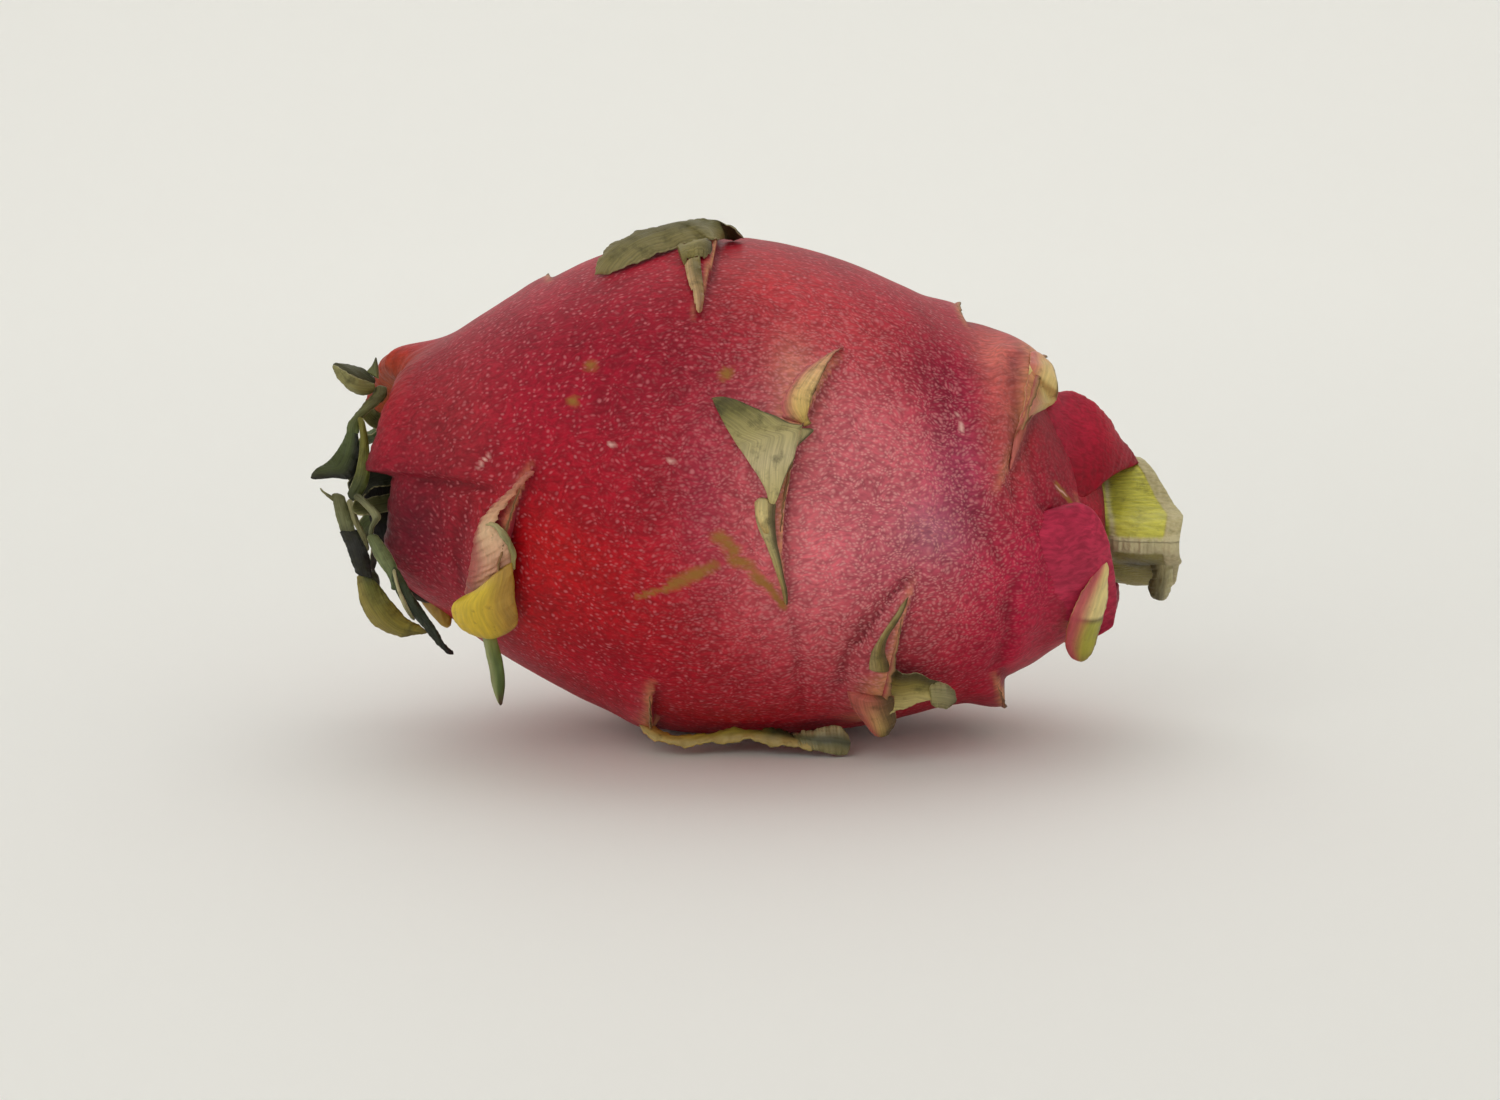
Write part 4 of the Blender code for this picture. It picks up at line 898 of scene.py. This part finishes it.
# the leaves in the photograph's sight: two traced edge lines, colour stops and settings
CROWN_STRIPS = [
    # the curled cup at the top, the spike behind it and the strand that leads down from them
    ("376 384 -5.5, 358 378 -8, 345 371 -8, 333 364.5 -6.5", "373 393 -5.5, 362 395 -6.5, 350 391 -7, "
     "340 380 -7, 333 365.5 -6.5", "0 6e6c34, 0.5 86804a, 1 8a8450", dict(bulge=0.5, edge=0.8)),
    ("376 380 -4, 362 368 -4, 347 364.5 -4.5, 333 363.8 -6", "374 386 -5, 358 379 -6, 345 372 -6.5, "
     "333 365 -6.5", "0 3c3c1c, 1 4c4a28", dict(frill=0.1, bulge=0.1, edge=1.3)),
    ("366 372 -5, 372 365 -4.5, 375.5 357 -4", "379 380 -5, 378.5 368 -4.5, 376.5 357.5 -4",
     "0 6c7040, 1 4a4c28", dict(frill=0.1)),
    ("374 386 -5, 371 396 -6, 358 410 -8, 348 424 -9, 346 436 -9.5", "387 385 -5, 386 397 -6, 371 411 -8, "
     "361 420 -9, 359 436 -9.5", "0 5c5428, 0.5 646436, 1 4c5a26", dict(frill=0.3, bulge=0.4, edge=1.1)),
    # the green leaf, the yellow-green strip beside it and the small tips under them
    ("348 430 -9.5, 338 449 -10, 328 461 -10.5, 316 469 -11, 310 476 -11.5",
     "358 430 -9.5, 359 455 -10, 352 478 -10.5, 333 478 -11, 311 480 -11.5",
     "0 4c5a26, 0.5 384210, 0.8 40481c, 1 24240f",
     dict(sides=(None, "14140f"), frill=0.5, bulge=0.25, edge=0.6)),
    ("357 415 -9.5, 360 440 -10.5, 356 470 -11.5, 346 497 -12", "364 418 -9.5, 369 445 -10.5, 369 480 -11.5, "
     "356 504 -12", "0 6e6718, 0.5 6c6a22, 0.8 4a5220, 1 2c3014", dict(frill=0.3, bulge=0.35)),
    ("319 487 -11, 329 494 -11, 345 502 -10", "322 492 -11, 331 500 -11, 343 508 -10", "0 8a865c, 1 4a4828",
     dict()),
    # the long hanging leaves: pale strips above, black in the middle, olive and dark green below
    ("331 492 -11, 335 512 -11.5, 340 530 -12, 347 548 -12", "344 494 -11, 350 512 -11.5, 355 528 -12, "
     "358 546 -12", "0 5c5a34, 0.5 6e7048, 1 24240f", dict(frill=0.4, bulge=0.4, edge=1.1)),
    ("346 500 -12, 352 520 -12.2, 362 540 -12.4, 366 552 -12.4", "352 498 -12, 358 518 -12.2, 366 536 -12.4, "
     "370 550 -12.4", "0 8c865c, 1 6a6640", dict(bulge=0.4, frill=0.15)),
    ("339 530 -12, 348 552 -12.5, 356 575 -12.5", "357 528 -12, 368 552 -12.5, 373 580 -12.5",
     "0 1c1c12, 1 0f0f0b", dict(frill=0.5, edge=0.3)),
    ("356 572 -12.5, 358 590 -12.8, 362 608 -13, 375 626 -13, 398 636 -12.5, 424 633 -12",
     "371 576 -12.5, 383 590 -12.8, 394 604 -13, 407 618 -13, 424 628 -12.5, 430 632 -12",
     "0 3c4420, 0.15 6a6a24, 0.5 7c7020, 0.8 857a28, 1 6a5c24",
     dict(sides=("8a7c38", None), frill=0.4, rings=110, edge=0.5)),
    ("352 497 -14, 362 505 -15, 372 518 -16.5, 369 528 -17.5, 369 541 -18",
     "358 492 -14, 370 503 -15, 381 516 -16.5, 374 528 -17.5, 374 540 -18", "0 4a4a28, 0.5 84825a, 1 3a4420",
     dict(frill=0.15, bulge=0.4, edge=1.1)),
    ("366 535 -18, 374 556 -18.5, 388 577 -19, 392 592 -19.5", "376 533 -18, 390 552 -18.5, 399 572 -19, "
     "402 588 -19.5", "0 5c6438, 0.5 707a4c, 1 3c4a24", dict(frill=0.3, bulge=0.4, edge=1.1)),
    ("388 566 -19, 396 592 -19.6, 408 612 -20, 424 628 -20, 438 646 -19.5, 452 654 -18.5",
     "397 566 -19, 412 593 -19.6, 425 612 -20, 437 630 -20, 446 645 -19.5, 455 655 -18.5",
     "0 3c4a24, 0.4 26301a, 0.7 1c2412, 1 0c0c0a", dict(frill=0.4, bulge=0.35, rings=110, edge=0.7)),
    ("392 570 -19.8, 397 590 -20.6, 404 608 -21, 412 620 -21", "395 568 -19.8, 400 588 -20.6, 408 606 -21, "
     "416 621 -21", "0 a8a074, 0.5 b4ac80, 1 5c5c38", dict(frill=0.1)),
    # a broad near-black sheet that fills the dark space behind the hanging leaves, against the navel's rim
    ("362 462 -6, 364 495 -8, 370 520 -9, 378 545 -9, 392 575 -9, 410 600 -8.5",
     "404 462 -4, 404 500 -5, 404 530 -6, 408 555 -7, 424 580 -7, 440 606 -8",
     "0 1c120c, 0.6 14140f, 1 2c2412", dict(frill=0.4, bulge=0.2, edge=0.0)),
]
crown = [
    (disc_points, disc_values),
    # stalks from the disc out over the rim
    leaf_shell("-47.5 -0.8 46, -54 -2 48, -59.8 -3.8 51.8, -61.6 -5 54.4", [1.8, 1.6, 1.5, 1.6],
        (-0.5, -1, 0.5), [0.9, 0.9], "0 3a341a, 0.6 5a5628, 1 6e6c34", seed=61, frill=0.2),
    leaf_shell("-47.5 -2.6 43.4, -54 -5.6 43.8, -60 -8.6 43, -63.4 -10.6 40.5", [1.8, 2, 2.2, 2.0],
        (-0.5, -1, 0.1), [0.9, 0.8], "0 2c2a16, 0.5 20220f, 1 2c3014", seed=62, frill=0.3),
    leaf_shell("-47.5 -3 39, -55 -7 39, -60.5 -11 38.6, -63 -13.6 38.6", [1.8, 1.8, 1.6, 1.6],
        (-0.3, -1, 0.3), [0.9, 0.8], "0 2c2a16, 0.5 3a3a1c, 1 6a6a3c", seed=64, frill=0.3),
    # the far leaves, out of the photograph's sight
    leaf_shell("-47.5 2 45.6, -55 4.4 47.2, -62 7.2 47, -65.5 11.6 43, -65 13 36", [2, 2.4, 3.2, 2.8, 0.5],
        (-1, 0.5, 0.3), [0.9, 0.8, 0.7], GREEN, seed=85, frill=0.35),
    leaf_shell("-47.5 2.6 41.6, -55 5.6 38, -61.5 8.8 34, -64.5 10.5 27.5, -62 12 21.5",
        [2, 2.2, 3, 2.4, 0.5], (-1, 0.5, 0), [0.9, 0.8, 0.7], GREEN, seed=87, frill=0.35),
    leaf_shell("-47.5 0 41, -54.6 0.6 36.6, -60 1.2 32, -62 2 25.6", [2, 2.4, 2.4, 0.5], (-1, 0.1, 0.3),
        [0.9, 0.8], "0 2a2412, 0.6 3a361a, 1 1c1a10", seed=89, frill=0.3),
]
for number, (edge_a, edge_b, stops, settings) in enumerate(CROWN_STRIPS):
    leaf_edges = traced(edge_a), traced(edge_b)
    crown.append(sheet_shell(*leaf_edges, (-0.3, -1, 0.1), stops, seed=65 + number, **settings))
make_piece("crown_leaves", crown, "crown", dried_bract)


# Stem rind: the cactus stem's tough green skin, streaked along it every half millimetre, with corky cream
# ribs and edges that are rough and cracked, and brown where the flesh has shrunk.
stem_rind, tree, spot, streaks, _, stained = fibrous_material(
    "stem_rind", (1.6, 0.35), {"Detail": 4.0}, (0.78, 1.15),
    {"Scale": 480.0, "Detail": 5.0, "Roughness": 0.7}, (0.53, 0.72, 0.0, 0.55), "6c6430",
)
cracks, cork_mask, corked = worn_edges(
    tree, spot, stained, {"Scale": 1400.0, "Detail": 3.0}, (0.12, 0.45, 0.0, 0.9), "d2c69c"
)
height = add_node(tree, "Math", [cracks, 0.6, streaks], operation="MULTIPLY_ADD")
finish_material(tree, corked, cork_mask, (0.0, 1.0, 0.5, 0.85), height, 0.8, 0.0004)

# The stem: a short piece of three-ribbed cactus stem, green between its ribs, corky and pale on them, and cut
# off at a slant, where the cut has dried to a torn brown edge with a strip of rind hanging off it.
STEM_HEIGHT = 33.2
stem_outline = curve_through(
    "52.9 0, 52.9 5.2, 54 6.2, 57 7, 58.4 9.2, 60.2 11, 64 12.1, 68.5 12.1, 71.2 11.8, 71 9.6, 69.4 6.2, "
    "68.6 0", 400,
)
station, turn = rings_and_turns(190, 280)
stem_x, stem_radius = (spread_over(station, column) + 0 * turn for column in stem_outline.T)
from_rib = turn - np.radians(116)
rib = np.abs(np.cos(1.5 * from_rib))
ribs_in = smooth((stem_x - 57.0) / 3.0)
stem_radius = stem_radius * (1 - ribs_in * 0.46 * (1 - rib**2.6))
ridge_line = bell(1 - rib, 0.016) * ribs_in
border = smooth((stem_x - 68.4) / 0.6) + 0 * turn
corky_rise = 0.5 * ridge_line * (1 + 0.5 * wander(3.1 * stem_x, 84))
stem_radius = stem_radius + 0.3 * border * (stem_radius > 9) + corky_rise - 0.5
# the cut: it slants back towards the upper rib and the front one, and its rim is torn
stem_x = stem_x - 5.5 * smooth((stem_x - 61) / 10) * np.maximum(np.cos(from_rib), 0) * stem_radius / 12
front_rib = bell(angle_between(turn, np.radians(-4)), 0.5)
stem_x = stem_x - 1.6 * smooth((stem_x - 62) / 8) * front_rib * stem_radius / 12
torn = smooth((station - 0.80) / 0.03) * (0.5 + 0.5 * wander(6 * turn, 81) + 0.3 * wander(17 * turn, 82))
stem_x = stem_x - torn * bell(station - 0.84, 0.05)
stem_radius = stem_radius - 0.12 * ribs_in * wander(13 * turn + 0.8 * stem_x, 83)
stem_y, stem_z = -stem_radius * np.cos(turn), STEM_HEIGHT + stem_radius * np.sin(turn)
stem_points = np.stack([stem_x, stem_y, stem_z], -1)
# painted shade: near-black in the hollow between the stem's front and lower ribs
from_hollow = np.degrees(angle_between(turn, np.radians(-46)))
hollow_shade = np.exp(-((from_hollow / 30) ** 4) - ((stem_x - 64.4) / 3.4) ** 4)
rim_pale = bell(stem_x - 59.3, 0.5)
# painted light and shade: the stem's upper half is a lighter yellow-green and its lower half a darker green
stem_tint = blend_stops(smooth(np.sin(turn + 0.07) * 6 + 0.5) + 0 * stem_x, "0 968a44, 1 ccc648")
for mask, colour in [
    (0.9 * hollow_shade, "2c2412"), (0.8 * smooth((rib - 0.98) / 0.012) * ribs_in, "b8ac7c"),
    (0.8 * rim_pale, "cabf90"), (0.85 * border, "a89870"),
    (smooth((station - 0.9) / 0.04) + 0 * turn, "6a5a30"), (smooth(58.4 - stem_x), "4a3a1c"),
]:
    stem_tint = painted(stem_tint, mask, colour)
stem_values = {
    "tint": with_alpha(stem_tint),
    "fibre": np.stack([turn * stem_radius, stem_x], -1),
    "edge": np.clip(1.1 * ridge_line + 0.6 * border * (station < 0.88) + 0.5 * rim_pale, 0, 1.2),
}
torn_rind = sheet_shell(
    traced("1149 562 -3.8, 1152 574 -3.6, 1148 588 -2.8, 1153 598 -2"),
    traced("1173 552 -4.2, 1173 574 -3.6, 1171 590 -2.6, 1166 602 -1.8"), (0.2, -1, 0),
    "0 a89c6c, 0.5 7c7248, 1 4a4630", sides=("5c5230", "b0a67c"), seed=61, frill=0.7, thickness=0.6, edge=0.4,
)
make_piece("stem_cut", [(stem_points, stem_values), torn_rind], "stem", stem_rind)


# The floor: a plain pale sheet of paper that curves up all round, so that no horizon shows from any side.
PAPER_STEPS = 96
bend = np.linspace(0, np.pi / 2, 20)
paper_radius = np.concatenate([[0.02, 0.25, 0.5, 0.75], 1.0 + 0.8 * np.sin(bend), [1.8]])[:, None]
paper_height = np.concatenate([[0, 0, 0, 0], 0.8 - 0.8 * np.cos(bend), [2.2]])[:, None]
around = np.linspace(0, 2 * np.pi, PAPER_STEPS, endpoint=False)
paper_x, paper_y = paper_radius * np.cos(around), paper_radius * np.sin(around)
paper_points = np.stack([paper_x, paper_y, paper_height + 0 * paper_x], -1).reshape(-1, 3)
row = np.arange(len(paper_radius) - 1)[:, None] * PAPER_STEPS
column = np.arange(PAPER_STEPS)[None, :]
onward, above = (column + 1) % PAPER_STEPS, row + PAPER_STEPS
floor_quads = np.stack([row + column, above + column, above + onward, row + onward], -1)
floor_faces = floor_quads.reshape(-1, 4).tolist()
floor_mesh = bpy.data.meshes.new("paper_bowl")
floor_mesh.from_pydata(paper_points.tolist(), [], floor_faces + [list(range(PAPER_STEPS))])
floor_mesh.shade_smooth()
paper, tree, shader = new_material("matt_paper")
shader.inputs["Base Color"].default_value = paint("f1f0ec")
shader.inputs["Roughness"].default_value = 0.7
floor_mesh.materials.append(paper)
floor = bpy.data.objects.new("paper_bowl", floor_mesh)
bpy.context.scene.collection.objects.link(floor)

# Light: a wide soft box above and behind, a weaker one from the front left, and a pale room round it.
for name, place, aim, size, watts in [
    ("overhead", (0.0, 0.9, 1.3), (0, 0.25, 0), 1.7, 7.6),
    ("front_left", (-0.6, -0.9, 0.7), (0, 0, 0.04), 0.9, 2.6),
]:
    lamp = bpy.data.lights.new(name, "AREA")
    lamp.shape, lamp.size, lamp.size_y, lamp.energy = "RECTANGLE", size, size, watts
    holder = bpy.data.objects.new(name, lamp)
    holder.location = place
    away = np.array(place) - np.array(aim)
    tilt, heading = np.arctan2(np.hypot(away[0], away[1]), away[2]), np.arctan2(away[0], -away[1])
    holder.rotation_euler = (tilt, 0, heading)
    bpy.context.scene.collection.objects.link(holder)
world = bpy.data.worlds.new("pale_room")
world.use_nodes = True
room = world.node_tree.nodes["Background"]
room.inputs["Color"].default_value = paint("f3f3f0")
room.inputs["Strength"].default_value = 0.72
bpy.context.scene.world = world
bpy.context.scene.view_settings.view_transform = "Standard"
